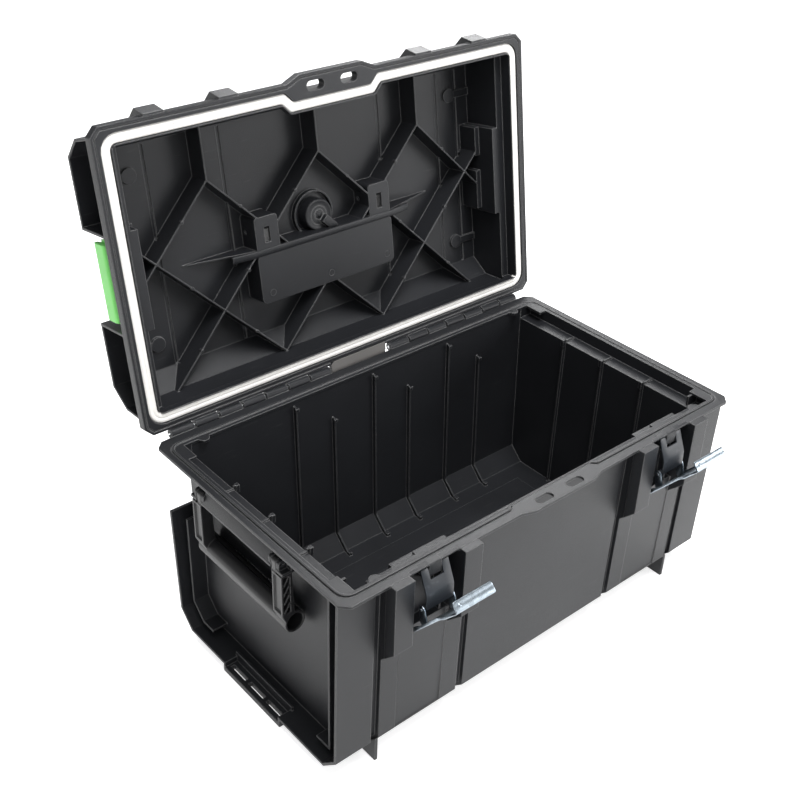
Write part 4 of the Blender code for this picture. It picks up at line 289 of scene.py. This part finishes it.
def foam(name, colour):
    """Closed-cell PU foam: soft, dull, with cells about 0.8 mm across and faint grey soiling in patches."""
    material, tree, output, place = new_material(name)
    cells = add(tree, "ShaderNodeTexVoronoi", {"Vector": place, "Scale": 1.0 / (0.9 * MM)})
    soil = add(tree, "ShaderNodeTexNoise", {"Vector": place, "Scale": 1.0 / (30 * MM), "Detail": 4.0})
    shade = add(tree, "ShaderNodeMapRange", {"Value": soil.outputs["Fac"], "From Min": 0.35, "From Max": 0.75,
                                             "To Min": 1.0, "To Max": 0.88})
    tint = add(tree, "ShaderNodeVectorMath", {0: colour, "Scale": shade.outputs["Result"]}, operation="SCALE")
    bump = add(tree, "ShaderNodeBump", {"Strength": 0.5, "Distance": 0.12 * MM,
                                        "Height": cells.outputs["Distance"]})
    shader = add(tree, "ShaderNodeBsdfPrincipled", {
        "Base Color": tint.outputs["Vector"], "Roughness": 0.86, "Normal": bump.outputs["Normal"],
        "Specular IOR Level": 0.25, "IOR": 1.45})
    tree.links.new(shader.outputs["BSDF"], output.inputs["Surface"])
    return material


def plated_steel(name, colour, dull, roughness, blotch_mm, drawn):
    """Plated steel: a metal whose coat clouds in patches, with the fine lines left by pressing or drawing."""
    material, tree, output, place = new_material(name)
    patches = add(tree, "ShaderNodeTexNoise", {"Vector": place, "Scale": 1.0 / (blotch_mm * MM), "Detail": 5.0,
                                               "Roughness": 0.6})
    cloudy = add(tree, "ShaderNodeMapRange", {"Value": patches.outputs["Fac"], "From Min": 0.35,
                                              "From Max": 0.68})
    mixed = add(tree, "ShaderNodeMix", {"Factor": cloudy.outputs["Result"], "A": (*colour, 1.0),
                                        "B": (*dull, 1.0)}, data_type="RGBA")
    lines = add(tree, "ShaderNodeMapping", {"Vector": place, "Scale": drawn})
    drawing = add(tree, "ShaderNodeTexNoise", {"Vector": lines.outputs["Vector"], "Scale": 1.0 / (1.2 * MM),
                                               "Detail": 2.0})
    gloss = add(tree, "ShaderNodeMapRange", {"Value": drawing.outputs["Fac"], "From Min": 0.3, "From Max": 0.7,
                                             "To Min": roughness - 0.06, "To Max": roughness + 0.10})
    bump = add(tree, "ShaderNodeBump", {"Strength": 0.25, "Distance": 0.03 * MM,
                                        "Height": drawing.outputs["Fac"]})
    shader = add(tree, "ShaderNodeBsdfPrincipled", {
        "Base Color": mixed.outputs["Result"], "Roughness": gloss.outputs["Result"],
        "Normal": bump.outputs["Normal"], "Metallic": 1.0})
    tree.links.new(shader.outputs["BSDF"], output.inputs["Surface"])
    return material


def coated_steel(name, colour, roughness):
    """Steel under a baked black coat: fine orange peel, thinned to grey in scattered patches."""
    material, tree, output, place = new_material(name)
    peel = add(tree, "ShaderNodeTexNoise", {"Vector": place, "Scale": 1.0 / (1.1 * MM), "Detail": 1.5})
    wear = add(tree, "ShaderNodeTexNoise", {"Vector": place, "Scale": 1.0 / (7 * MM), "Detail": 5.0})
    rubbed = add(tree, "ShaderNodeMapRange", {"Value": wear.outputs["Fac"], "From Min": 0.60, "From Max": 0.72,
                                              "To Max": 0.4})
    mixed = add(tree, "ShaderNodeMix", {"Factor": rubbed.outputs["Result"], "A": (*colour, 1.0),
                                        "B": (*linear("#595b5f"), 1.0)}, data_type="RGBA")
    gloss = add(tree, "ShaderNodeMapRange", {"Value": peel.outputs["Fac"], "From Min": 0.3, "From Max": 0.7,
                                             "To Min": roughness - 0.05, "To Max": roughness + 0.08})
    bump = add(tree, "ShaderNodeBump", {"Strength": 0.4, "Distance": 0.05 * MM, "Height": peel.outputs["Fac"]})
    shader = add(tree, "ShaderNodeBsdfPrincipled", {
        "Base Color": mixed.outputs["Result"], "Roughness": gloss.outputs["Result"],
        "Normal": bump.outputs["Normal"], "IOR": 1.52})
    tree.links.new(shader.outputs["BSDF"], output.inputs["Surface"])
    return material


def finish_of(name):
    """The finish of one kind of part, made once and then shared."""
    made = bpy.data.materials.get(name)
    if made:
        return made
    colours = bpy.context.scene.toolbox_colours
    sizes = bpy.context.scene.toolbox_sizes
    grain = sizes.grain / MM
    edge = sizes.edge_radius / MM
    if name in MOULDED:
        colour, roughness, grain_share, lift, edge_share, highlight_and_wear, scuffs, specular = MOULDED[name]
        return moulded_plastic(name, tuple(getattr(colours, colour)), roughness, grain * grain_share, lift,
                               edge * edge_share, highlight_and_wear, scuffs, specular)
    if name in PLATED:
        colour, dulled, roughness, patch, drawn = PLATED[name]
        bright = tuple(getattr(colours, colour))
        return plated_steel(name, bright, tuple(c * dulled for c in bright), roughness, patch, drawn)
    if name == "pu_foam_seal":
        return foam(name, tuple(colours.seal))
    return coated_steel(name, tuple(colours.strap), COATED_ROUGHNESS)


# Modelling helpers

def select_only(*items):
    """Select these objects and no others, the first one active."""
    bpy.ops.object.select_all(action="DESELECT")
    for item in items:
        item.select_set(True)
    bpy.context.view_layer.objects.active = items[0]


def settle(piece, body, finish, angle=35.0):
    """Put a piece's place into its mesh, smooth its rounds, give it its finish and its body."""
    select_only(piece)
    bpy.ops.object.transform_apply(location=True, rotation=True, scale=True)
    bpy.ops.object.shade_smooth_by_angle(angle=math.radians(angle))
    piece.data.materials.clear()
    piece.data.materials.append(finish_of(finish))
    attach(piece, body)


def rounded(node, width, segments=2, angle=30.0):
    """A CAD node's own form with its moulded edges rounded: merged, then bevelled, its flats kept flat."""
    source = NODES[node]
    piece = bpy.data.objects.new(node + "_moulding", source.data.copy())
    bpy.context.scene.collection.objects.link(piece)
    select_only(piece)
    bpy.ops.object.mode_set(mode="EDIT")
    bpy.ops.mesh.select_all(action="SELECT")
    bpy.ops.mesh.remove_doubles(threshold=WELD)
    bpy.ops.object.mode_set(mode="OBJECT")
    if piece.data.has_custom_normals:
        bpy.ops.mesh.customdata_custom_splitnormals_clear()
    bevel = piece.modifiers.new("rounding", "BEVEL")
    bevel.width = width
    bevel.segments = segments
    bevel.limit_method = "ANGLE"
    bevel.angle_limit = math.radians(angle)
    bevel.use_clamp_overlap = False
    bevel.miter_outer = "MITER_SHARP"
    bpy.ops.object.modifier_apply(modifier=bevel.name)
    return piece


def keep_flats(piece):
    """Weigh the normals by area, so that a rounded edge shades round and the flats beside it stay flat."""
    select_only(piece)
    weigh = piece.modifiers.new("flats", "WEIGHTED_NORMAL")
    weigh.keep_sharp = True
    weigh.weight = 100
    bpy.ops.object.modifier_apply(modifier=weigh.name)


def skinned(name, rows, wrap=True, loop=False, ends=True):
    """A skin over rows of points: a grid whose points are placed, its seam merged and its ends closed."""
    if wrap:
        rows = [list(row) + [row[0]] for row in rows]
    if loop:
        rows = list(rows) + [rows[0]]
    bpy.ops.object.select_all(action="DESELECT")
    bpy.ops.mesh.primitive_grid_add(x_subdivisions=len(rows[0]) - 1, y_subdivisions=len(rows) - 1)
    piece = bpy.context.object
    piece.name = name
    for vertex, point in zip(piece.data.vertices, [point for row in rows for point in row]):
        vertex.co = point
    bpy.ops.object.mode_set(mode="EDIT")
    bpy.ops.mesh.select_all(action="SELECT")
    bpy.ops.mesh.remove_doubles(threshold=SEAM)
    if ends and not loop:
        bpy.ops.mesh.select_all(action="DESELECT")
        bpy.ops.mesh.select_non_manifold()
        bpy.ops.mesh.fill_holes(sides=0)
    bpy.ops.mesh.select_all(action="SELECT")
    bpy.ops.mesh.normals_make_consistent(inside=False)
    bpy.ops.object.mode_set(mode="OBJECT")
    return piece


def thicken(piece, plate, inward=False):
    """Give a pressed sheet its thickness."""
    select_only(piece)
    wall = piece.modifiers.new("plate", "SOLIDIFY")
    wall.thickness = plate
    wall.offset = -1.0 if inward else 1.0
    wall.use_even_offset = True
    bpy.ops.object.modifier_apply(modifier=wall.name)


def ease(piece, width, segments=2, angle=30.0):
    """Round a piece's sharper edges."""
    select_only(piece)
    bevel = piece.modifiers.new("rounding", "BEVEL")
    bevel.width = width
    bevel.segments = segments
    bevel.limit_method = "ANGLE"
    bevel.angle_limit = math.radians(angle)
    bpy.ops.object.modifier_apply(modifier=bevel.name)


def slab(name, x, y, z):
    """A straight bar between two corners, skinned along x."""
    section = [(y[0], z[0]), (y[1], z[0]), (y[1], z[1]), (y[0], z[1])]
    return skinned(name, [[(end, *point) for point in section] for end in x])


def turned(name, profile, centre, steps=64):
    """A round piece turned from a profile of (radius, height) about the lid's normal."""
    rows = []
    for step in range(steps):
        turn = 2.0 * math.pi * step / steps
        rows.append([centre + Vector((r * math.cos(turn), r * math.sin(turn), h)) for r, h in profile])
    return skinned(name, rows, wrap=False, loop=True)


def place_on_lid(piece):
    """Turn a piece drawn with the lid shut to where the open lid carries it."""
    piece.data.transform(LID)
    piece.data.update()


def merged(*pieces):
    """Join pieces into one object."""
    select_only(*pieces)
    bpy.ops.object.join()
    return pieces[0]


def fillet(corners, radii, steps=6):
    """Round the corners of a closed outline, each by its own radius."""
    points = []
    for index, corner in enumerate(corners):
        here = Vector(corner)
        back = Vector(corners[index - 1]) - here
        ahead = Vector(corners[(index + 1) % len(corners)]) - here
        half = back.angle(ahead) / 2.0
        reach = radii[index] / math.tan(half)
        start = here + back.normalized() * reach
        centre = here + (back.normalized() + ahead.normalized()).normalized() * (radii[index] / math.sin(half))
        first = start - centre
        sweep = first.angle_signed(here + ahead.normalized() * reach - centre)
        for step in range(steps + 1):
            points.append(tuple(centre + Matrix.Rotation(-sweep * step / steps, 2) @ first))
    return points


class ToolboxColours(bpy.types.PropertyGroup):
    """Colours of the case's finishes."""
    shell: bpy.props.FloatVectorProperty(
        name="Shell", description="Charcoal of the case and lid", subtype="COLOR", size=3, min=0.0, max=1.0,
        default=linear("#232427"))
    handle: bpy.props.FloatVectorProperty(
        name="Handle", description="Black of the handles", subtype="COLOR", size=3, min=0.0, max=1.0,
        default=linear("#1f1f21"))
    lock: bpy.props.FloatVectorProperty(
        name="Side lock", description="Green of the side locks", subtype="COLOR", size=3, min=0.0, max=1.0,
        default=linear("#92ff84"))
    seal: bpy.props.FloatVectorProperty(
        name="Seal", description="Off-white of the foam seal", subtype="COLOR", size=3, min=0.0, max=1.0,
        default=linear("#fffdf9"))
    zinc: bpy.props.FloatVectorProperty(
        name="Lever", description="Bluish zinc of the levers", subtype="COLOR", size=3, min=0.0, max=1.0,
        default=linear("#a9b4bd"))
    pin: bpy.props.FloatVectorProperty(
        name="Pins", description="Bright steel of the pins", subtype="COLOR", size=3, min=0.0, max=1.0,
        default=linear("#d8dadc"))
    strap: bpy.props.FloatVectorProperty(
        name="Strap", description="Dark coat of the latch straps", subtype="COLOR", size=3, min=0.0, max=1.0,
        default=linear("#303338"))
    plate: bpy.props.FloatVectorProperty(
        name="Cover plate", description="Warm grey of the hinge plate", subtype="COLOR", size=3, min=0.0,
        max=1.0, default=linear("#6b6967"))


class ToolboxSizes(bpy.types.PropertyGroup):
    """Sizes of the finer forms."""
    edge: bpy.props.FloatProperty(
        name="Moulded edge", description="Width of the rounding along moulded edges", subtype="DISTANCE",
        default=0.45 * MM, min=0.1 * MM, max=2 * MM, precision=5)
    # How far the painted pale edge highlight reaches from each edge.
    edge_radius: bpy.props.FloatProperty(
        name="Painted edge highlight", description="How far the painted pale highlight reaches from an edge", subtype="DISTANCE",
        default=1.5 * MM, min=0.2 * MM, max=4 * MM, precision=5)
    grain: bpy.props.FloatProperty(
        name="Grain", description="Size of the eroded grain on the mouldings", subtype="DISTANCE",
        default=0.9 * MM, min=0.2 * MM, max=4 * MM, precision=5)


class ToolboxStudio(bpy.types.PropertyGroup):
    """Lamps and floor."""
    key: bpy.props.FloatProperty(
        name="Key lamp", description="Power of the low soft lamp at the right", unit="POWER", default=46.0,
        min=0.0, max=500.0)
    top: bpy.props.FloatProperty(
        name="Top lamp", description="Power of the soft lamp overhead", unit="POWER", default=54.0,
        min=0.0, max=500.0)
    rim: bpy.props.FloatProperty(
        name="Rim lamp", description="Power of the soft lamp behind and above", unit="POWER", default=38.0,
        min=0.0, max=500.0)
    fill: bpy.props.FloatProperty(
        name="Fill lamp", description="Power of the soft lamp at the left", unit="POWER", default=10.0,
        min=0.0, max=500.0)
    world: bpy.props.FloatProperty(name="Surround", description="Strength of the even surround", default=0.30,
                                   min=0.0, max=2.0)


class TOOLBOX_OT_shells(bpy.types.Operator):
    """Round and finish the case and the lid"""
    bl_idname = "toolbox.shells"
    bl_label = "Case and lid"

    def execute(self, context):
        width = context.scene.toolbox_sizes.edge
        for node, body in (("bin_shell", "bin"), ("lid_shell", "lid")):
            piece = rounded(node, width)
            if node == "bin_shell":
                self.open_front(piece)
            settle(piece, body, "moulded_polypropylene_charcoal")
            keep_flats(piece)
            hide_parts(node)
        self.front_land()
        self.side_bands()
        return {"FINISHED"}

    def side_bands(self):
        """The slanted plate above each side handle, from the rim's underside down to the beam's edge."""
        for word, side in (("left", -1.0), ("right", 1.0)):
            rows = [[(side * x * MM, y, z * MM) for x, z in BAND_SECTION] for y in BAND_RUN]
            band = skinned("side_band_" + word, rows)
            ease(band, ROUNDING["band"] * MM, 3)
            settle(band, "bin", "moulded_polypropylene_charcoal")

    def open_front(self, piece):
        """Clear the seal ridge's jog where it would bridge the opening; the land beneath it comes after."""
        cutter = slab("jog_cutter", JOG_SPAN, (-RIM_INNER, -RIM_INNER + CLEAR_DEPTH),
                      (RIM_TOP - CLEAR_FOOT, RIM_TOP + CLEAR_HEAD))
        select_only(piece)
        cut = piece.modifiers.new("clear", "BOOLEAN")
        cut.operation = "DIFFERENCE"
        cut.object = cutter
        cut.solver = "EXACT"
        bpy.ops.object.modifier_apply(modifier=cut.name)
        select_only(cutter)
        bpy.ops.object.delete()

    def front_land(self):
        """Widen the bin's front rim to its straight inner edge, add a low ridge, and bridge the latch notches."""
        land = slab("bin_front_land", RIM_SPAN, (-RIM_INNER - LAND_LAP, -LAND_EDGE),
                    (RIM_TOP - LAND_FOOT, RIM_TOP - LAND_DROP))
        ease(land, ROUNDING["land"] * MM, 3)
        ridge = slab("ridge", RIDGE_SPAN, (-LAND_EDGE - RIDGE_BACK[0], -LAND_EDGE - RIDGE_BACK[1]),
                     (RIM_TOP - RIDGE_ROOT, RIM_TOP + RIDGE_HEIGHT))
        ease(ridge, ROUNDING["ridge"] * MM)
        bridges = []
        for middle in (-LATCH_X, LATCH_X):
            bridge = slab("bridge", (middle - BRIDGE_HALF, middle + BRIDGE_HALF), BRIDGE_RUN,
                          (RIM_TOP - BRIDGE_FOOT, RIM_TOP - BRIDGE_DROP))
            ease(bridge, ROUNDING["bridge"] * MM, 3)
            bridges.append(bridge)
        settle(merged(land, ridge, *bridges), "bin", "moulded_polypropylene_charcoal")


class TOOLBOX_OT_seal(bpy.types.Operator):
    """Lay the soft foam seal round the lid"""
    bl_idname = "toolbox.seal"
    bl_label = "Foam seal"

    def execute(self, context):
        paths = [self.path(inset * MM) for inset, proud in SEAL_SECTION]
        levels = [SEAL_FACE - proud * MM for inset, proud in SEAL_SECTION]
        rows = [[(*path[index], level) for path, level in zip(paths, levels)] for index in range(len(paths[0]))]
        piece = skinned("foam_seal", rows, loop=True)
        place_on_lid(piece)
        settle(piece, "lid", "pu_foam_seal", 50.0)
        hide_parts("lid_seal")
        return {"FINISHED"}

    def path(self, inset):
        """The seal's run, drawn in from its outer edge, jogging behind the padlock tab."""
        wide, front, back = SEAL_HALF_WIDTH - inset, SEAL_FRONT - inset, SEAL_BACK - inset
        jog = SEAL_JOG_HALF + inset * math.tan(math.pi / 8.0)
        corners = [(wide, back), (-wide, back), (-wide, -front), (-jog - SEAL_JOG, -front),
                   (-jog, -front + SEAL_JOG), (jog, -front + SEAL_JOG), (jog + SEAL_JOG, -front), (wide, -front)]
        outer = SEAL_RADIUS - inset
        return fillet(corners, [outer] * 3 + [SEAL_JOG_RADIUS] * 4 + [outer])


class TOOLBOX_OT_latches(bpy.types.Operator):
    """Press the latch straps and levers"""
    bl_idname = "toolbox.latches"
    bl_label = "Latches"

    def execute(self, context):
        for word, side in (("left", -1.0), ("right", 1.0)):
            middle = side * LATCH_X
            strap = self.strap(word, middle)
            settle(strap, "strap_" + word, "coated_pressed_steel", 40.0)
            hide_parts("latch_strap_" + word)
            lever = self.lever(word, middle)
            settle(lever, "lever_" + word, "zinc_plated_pressed_steel", 40.0)
            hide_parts("latch_lever_" + word)
        return {"FINISHED"}

    def strap(self, word, middle):
        """Bent plate with a window open at its top, rolled round the lever's pin at its foot."""
        columns = [-STRAP_HALF, -STRAP_WINDOW, STRAP_WINDOW, STRAP_HALF]
        rows = [[(middle + x, y * MM, z * MM) for x in columns] for y, z in STRAP_PATH]
        plate = skinned("strap_plate_" + word, rows, wrap=False, ends=False)
        bpy.ops.object.mode_set(mode="EDIT")
        bpy.ops.mesh.select_all(action="DESELECT")
        bpy.ops.object.mode_set(mode="OBJECT")
        for face in plate.data.polygons:
            face.select = abs(face.center.x - middle) < STRAP_WINDOW and face.center.z > STRAP_WINDOW_FOOT
        bpy.ops.object.mode_set(mode="EDIT")
        bpy.ops.mesh.delete(type="FACE")
        bpy.ops.object.mode_set(mode="OBJECT")
        thicken(plate, STRAP_PLATE)
        ease(plate, ROUNDING["strap"] * MM)
        pivot = Vector(JOINTS["lever_" + word + "_hinge"]["pos_m"])
        eyes = []
        for x1, x2 in ((-STRAP_HALF, -STRAP_WINDOW), (STRAP_WINDOW, STRAP_HALF)):
            eyes.append(self.eye("strap_eye", middle + x1, middle + x2, pivot))
        return merged(plate, *eyes)

    def eye(self, name, low, high, centre):
        """A rolled eye round a pin that runs along x."""
        rows = []
        for step in range(EYE_STEPS):
            turn = 2.0 * math.pi * step / EYE_STEPS
            way = Vector((0.0, math.cos(turn), math.sin(turn)))
            rows.append([(x, *(centre + way * radius).yz) for x, radius in
                         ((low, EYE_BORE), (low, EYE_OUTER), (high, EYE_OUTER), (high, EYE_BORE))])
        piece = skinned(name, rows, loop=True)
        ease(piece, ROUNDING["eye"] * MM)
        return piece

    def lever(self, word, middle):
        """Pressed tray with low side flanges, a step to its neck and a grip folded back over the front."""
        rows = []
        for index, (y, z, half, flange) in enumerate(LEVER_PATH):
            near, far = LEVER_PATH[max(index - 1, 0)], LEVER_PATH[min(index + 1, len(LEVER_PATH) - 1)]
            along = Vector((far[0] - near[0], far[1] - near[1])).normalized()
            inward = Vector((along.y, -along.x))
            row = []
            for across, rise in ((-half, flange), (-half, FLANGE_ROUND), (-half + FLANGE_ROUND, 0.0),
                                 (-half / 2.0, 0.0), (half / 2.0, 0.0), (half - FLANGE_ROUND, 0.0),
                                 (half, FLANGE_ROUND), (half, flange)):
                lift = min(rise, flange)
                row.append((middle + across * MM, (y + inward.x * lift) * MM, (z + inward.y * lift) * MM))
            rows.append(row)
        tray = skinned("lever_tray_" + word, rows, wrap=False, ends=False)
        thicken(tray, LEVER_PLATE, inward=True)
        ease(tray, ROUNDING["tray"] * MM)
        parts = []
        for way in (-1.0, 1.0):
            inner = middle + way * EAR_INNER
            span = sorted((inner, inner + way * EAR_PLATE))
            ear = skinned("ear", [[(x, y * MM, z * MM) for y, z in LEVER_EAR] for x in span])
            ease(ear, ROUNDING["ear"] * MM)
            parts.append(ear)
        parts.append(self.dimple(middle))
        return merged(tray, *parts)

    def dimple(self, middle):
        """Small round pip pressed up near the left end of the grip's face."""
        top, foot = Vector(GRIP_TOP) * MM, Vector(GRIP_FOOT) * MM
        down = (foot - top).normalized()
        face = Vector((0.0, down.y, -down.x))
        centre = Vector((middle - PIP_X, *(top.lerp(foot, 0.5))))
        side, drop = Vector((1.0, 0.0, 0.0)), Vector((0.0, *down))
        rows = []
        for step in range(PIP_STEPS):
            turn = 2.0 * math.pi * step / PIP_STEPS
            way = side * math.cos(turn) + drop * math.sin(turn)
            rows.append([centre + way * (r * MM) + face * (h * MM) for r, h in PIP_PROFILE])
        return skinned("pip", rows, wrap=False, loop=True)


class TOOLBOX_OT_vent_plug(bpy.types.Operator):
    """Turn the vent plug behind the lid's panel"""
    bl_idname = "toolbox.vent_plug"
    bl_label = "Vent plug"

    def execute(self, context):
        face = Vector((0.0, 0.0, PLUG_FACE))
        plug = turned("vent_plug_moulding", [(r * MM, h * MM) for r, h in PLUG_PROFILE], face)
        lug = []
        outline = fillet([(LUG_NEAR, -LUG_HALF), (LUG_FAR, -LUG_HALF),
                          (LUG_FAR, LUG_HALF), (LUG_NEAR, LUG_HALF)],
                         [LUG_ROOT_RADIUS, LUG_TIP_RADIUS, LUG_TIP_RADIUS, LUG_ROOT_RADIUS])
        turn = Matrix.Rotation(LUG_TURN, 2)
        for level in (PLUG_FACE - LUG_RISE, PLUG_FACE + LUG_SINK):
            lug.append([(*(turn @ Vector(point)), level) for point in outline])
        lug = skinned("plug_lug", lug)
        ease(lug, ROUNDING["lug"] * MM, 3)
        piece = merged(plug, lug)
        place_on_lid(piece)
        settle(piece, "lid", "moulded_polypropylene_charcoal", 40.0)
        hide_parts("vent_plug")
        return {"FINISHED"}


class TOOLBOX_OT_lid_details(bpy.types.Operator):
    """Add the arch shelf's lip and the ejector marks inside the lid"""
    bl_idname = "toolbox.lid_details"
    bl_label = "Lid details"

    def execute(self, context):
        shelf = skinned("lid_arch_lip", [[(x, y * MM, (z + drop) * MM) for y, z in ARCH_SECTION]
                                         for x, drop in ARCH_ENDS])
        ease(shelf, ROUNDING["arch"] * MM, 3)
        marks = [self.mark(Vector((x, WITNESS_Y, RIB_TOP))) for x in WITNESS_X]
        piece = merged(shelf, *marks)
        place_on_lid(piece)
        settle(piece, "lid", "moulded_polypropylene_charcoal")
        return {"FINISHED"}

    def mark(self, centre):
        """The shallow ring that an ejector pin leaves."""
        return turned("mark", [(r * MM, h * MM) for r, h in WITNESS_PROFILE], centre, WITNESS_STEPS)


class TOOLBOX_OT_handles(bpy.types.Operator):
    """Round and finish the handles and the side locks"""
    bl_idname = "toolbox.handles"
    bl_label = "Handles and locks"

    def execute(self, context):
        kinds = [("top_handle", "top_handle", "moulded_nylon_black", "black_plastic", ROUNDING["top_handle"])]
        for word in ("left", "right"):
            kinds.append(("side_handle_" + word, "handle_" + word, "moulded_nylon_black", "black_plastic",
                          ROUNDING["side_handle"]))
            kinds.append(("side_lock_" + word, "lock_" + word, "moulded_abs_green", "green_plastic",
                          ROUNDING["side_lock"]))
        for node, body, finish, slot, width in kinds:
            piece = rounded(node, width * MM, 3)
            settle(piece, body, finish)
            keep_flats(piece)
            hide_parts(node)
        return {"FINISHED"}


class TOOLBOX_OT_rest(bpy.types.Operator):
    """Finish the remaining mouldings and metal parts"""
    bl_idname = "toolbox.rest"
    bl_label = "Rest"

    def execute(self, context):
        kinds = {"black_plastic": "moulded_nylon_black", "green_plastic": "moulded_abs_green",
                 "grey_plate": "moulded_cover_plate_grey", "seal_foam": "pu_foam_seal",
                 "zinc_plated_steel": "zinc_plated_pressed_steel", "bright_steel": "bright_drawn_steel",
                 "dark_painted_steel": "coated_pressed_steel",
                 "charcoal_plastic": "moulded_polypropylene_charcoal"}
        for name, node in NODES.items():
            if node.hide_render:
                continue
            for slot in node.material_slots:
                key = slot.material.name.split(".")[0] if slot.material else "charcoal_plastic"
                slot.material = finish_of(kinds.get(key, "moulded_polypropylene_charcoal"))
        return {"FINISHED"}


class TOOLBOX_OT_studio(bpy.types.Operator):
    """Set the floor, the lamps and the camera"""
    bl_idname = "toolbox.studio"
    bl_label = "Studio"

    def execute(self, context):
        scene = context.scene
        studio = scene.toolbox_studio
        scene.view_settings.view_transform = "Standard"
        self.floor()
        self.surround(studio.world)
        for name, setting, place, target, size in LAMPS:
            self.lamp(name, place, target, size, getattr(studio, setting))
        self.camera(scene)
        return {"FINISHED"}

    def floor(self):
        """A white paper sheet that keeps the case's shadow."""
        bpy.ops.object.select_all(action="DESELECT")
        bpy.ops.mesh.primitive_plane_add(size=FLOOR_SIZE, location=(0.0, 0.0, CAD_LOW.z))
        floor = bpy.context.object
        floor.name = "floor"
        material, tree, output, place = new_material("studio_paper_white")
        light = add(tree, "ShaderNodeLightPath")
        seen = add(tree, "ShaderNodeMath", {0: light.outputs["Is Camera Ray"],
                                            1: light.outputs["Is Glossy Ray"]}, operation="MAXIMUM")
        seen = add(tree, "ShaderNodeMath", {0: seen.outputs["Value"], 1: light.outputs["Is Transmission Ray"]},
                   operation="MAXIMUM")
        fibre = add(tree, "ShaderNodeTexNoise", {"Vector": place, "Scale": 1.0 / (3 * MM), "Detail": 2.0})
        bump = add(tree, "ShaderNodeBump", {"Strength": 0.1, "Distance": 0.05 * MM,
                                            "Height": fibre.outputs["Fac"]})
        paper = add(tree, "ShaderNodeBsdfDiffuse", {"Color": (*linear("#e7e7e7"), 1.0),
                                                    "Normal": bump.outputs["Normal"]})
        glow = add(tree, "ShaderNodeEmission", {"Color": WHITE, "Strength": FLOOR_GLOW})
        both = add(tree, "ShaderNodeAddShader", {0: paper.outputs["BSDF"], 1: glow.outputs["Emission"]})
        mixed = add(tree, "ShaderNodeMixShader", {0: seen.outputs["Value"], 1: paper.outputs["BSDF"],
                                                  2: both.outputs["Shader"]})
        tree.links.new(mixed.outputs["Shader"], output.inputs["Surface"])
        floor.data.materials.append(material)

    def surround(self, strength):
        """An even grey light from all round, white only where the camera looks past the floor."""
        world = bpy.context.scene.world or bpy.data.worlds.new("studio")
        bpy.context.scene.world = world
        world.use_nodes = True
        tree = world.node_tree
        tree.nodes.clear()
        output = add(tree, "ShaderNodeOutputWorld")
        light = add(tree, "ShaderNodeLightPath")
        even = add(tree, "ShaderNodeBackground", {"Color": WHITE, "Strength": strength})
        white = add(tree, "ShaderNodeBackground", {"Color": WHITE, "Strength": 1.0})
        mixed = add(tree, "ShaderNodeMixShader", {0: light.outputs["Is Camera Ray"],
                                                  1: even.outputs["Background"], 2: white.outputs["Background"]})
        tree.links.new(mixed.outputs["Shader"], output.inputs["Surface"])

    def lamp(self, name, place, target, size, power):
        """A round soft lamp that faces its target."""
        way = Vector(target) - Vector(place)
        bpy.ops.object.light_add(type="AREA", location=place, rotation=way.to_track_quat("-Z", "Y").to_euler())
        lamp = bpy.context.object
        lamp.name = name
        lamp.data.shape = "DISK"
        lamp.data.size = size
        lamp.data.energy = power

    def camera(self, scene):
        """The camera at the photograph's place and angle."""
        yaw, pitch, roll = CAMERA_TURN
        ahead = Vector((math.sin(yaw) * math.cos(pitch), math.cos(yaw) * math.cos(pitch), -math.sin(pitch)))
        right = Vector((math.cos(yaw), -math.sin(yaw), 0.0))
        up = right.cross(ahead)
        across = right * math.cos(roll) + up * math.sin(roll)
        upward = up * math.cos(roll) - right * math.sin(roll)
        turn = Matrix((across, upward, -ahead)).transposed()
        bpy.ops.object.camera_add(location=CAMERA_PLACE, rotation=turn.to_euler())
        camera = bpy.context.object
        camera.name = "camera"
        camera.data.lens = CAMERA_LENS
        camera.data.sensor_width = CAMERA_SENSOR
        camera.data.clip_start, camera.data.clip_end = CAMERA_CLIP
        scene.camera = camera


class TOOLBOX_PT_panel(bpy.types.Panel):
    """Lists the steps that dress the case"""
    bl_idname = "TOOLBOX_PT_panel"
    bl_label = "Stackable toolbox"
    bl_space_type = "VIEW_3D"
    bl_region_type = "UI"
    bl_category = "Toolbox"

    def draw(self, context):
        for operator in OPERATORS:
            self.layout.operator(operator.bl_idname)
        for group in (context.scene.toolbox_colours, context.scene.toolbox_sizes, context.scene.toolbox_studio):
            for name in group.__annotations__:
                self.layout.prop(group, name)


GROUPS = (ToolboxColours, ToolboxSizes, ToolboxStudio)
OPERATORS = (TOOLBOX_OT_shells, TOOLBOX_OT_seal, TOOLBOX_OT_latches, TOOLBOX_OT_vent_plug,
             TOOLBOX_OT_lid_details, TOOLBOX_OT_handles, TOOLBOX_OT_rest, TOOLBOX_OT_studio)


def register():
    for item in (*GROUPS, *OPERATORS, TOOLBOX_PT_panel):
        bpy.utils.register_class(item)
    bpy.types.Scene.toolbox_colours = bpy.props.PointerProperty(type=ToolboxColours)
    bpy.types.Scene.toolbox_sizes = bpy.props.PointerProperty(type=ToolboxSizes)
    bpy.types.Scene.toolbox_studio = bpy.props.PointerProperty(type=ToolboxStudio)


def unregister():
    del bpy.types.Scene.toolbox_studio
    del bpy.types.Scene.toolbox_sizes
    del bpy.types.Scene.toolbox_colours
    for item in reversed((*GROUPS, *OPERATORS, TOOLBOX_PT_panel)):
        bpy.utils.unregister_class(item)


def main():
    register()
    bpy.ops.toolbox.shells()
    bpy.ops.toolbox.seal()
    bpy.ops.toolbox.latches()
    bpy.ops.toolbox.vent_plug()
    bpy.ops.toolbox.lid_details()
    bpy.ops.toolbox.handles()
    bpy.ops.toolbox.rest()
    bpy.ops.toolbox.studio()


if __name__ == "__main__":
    main()
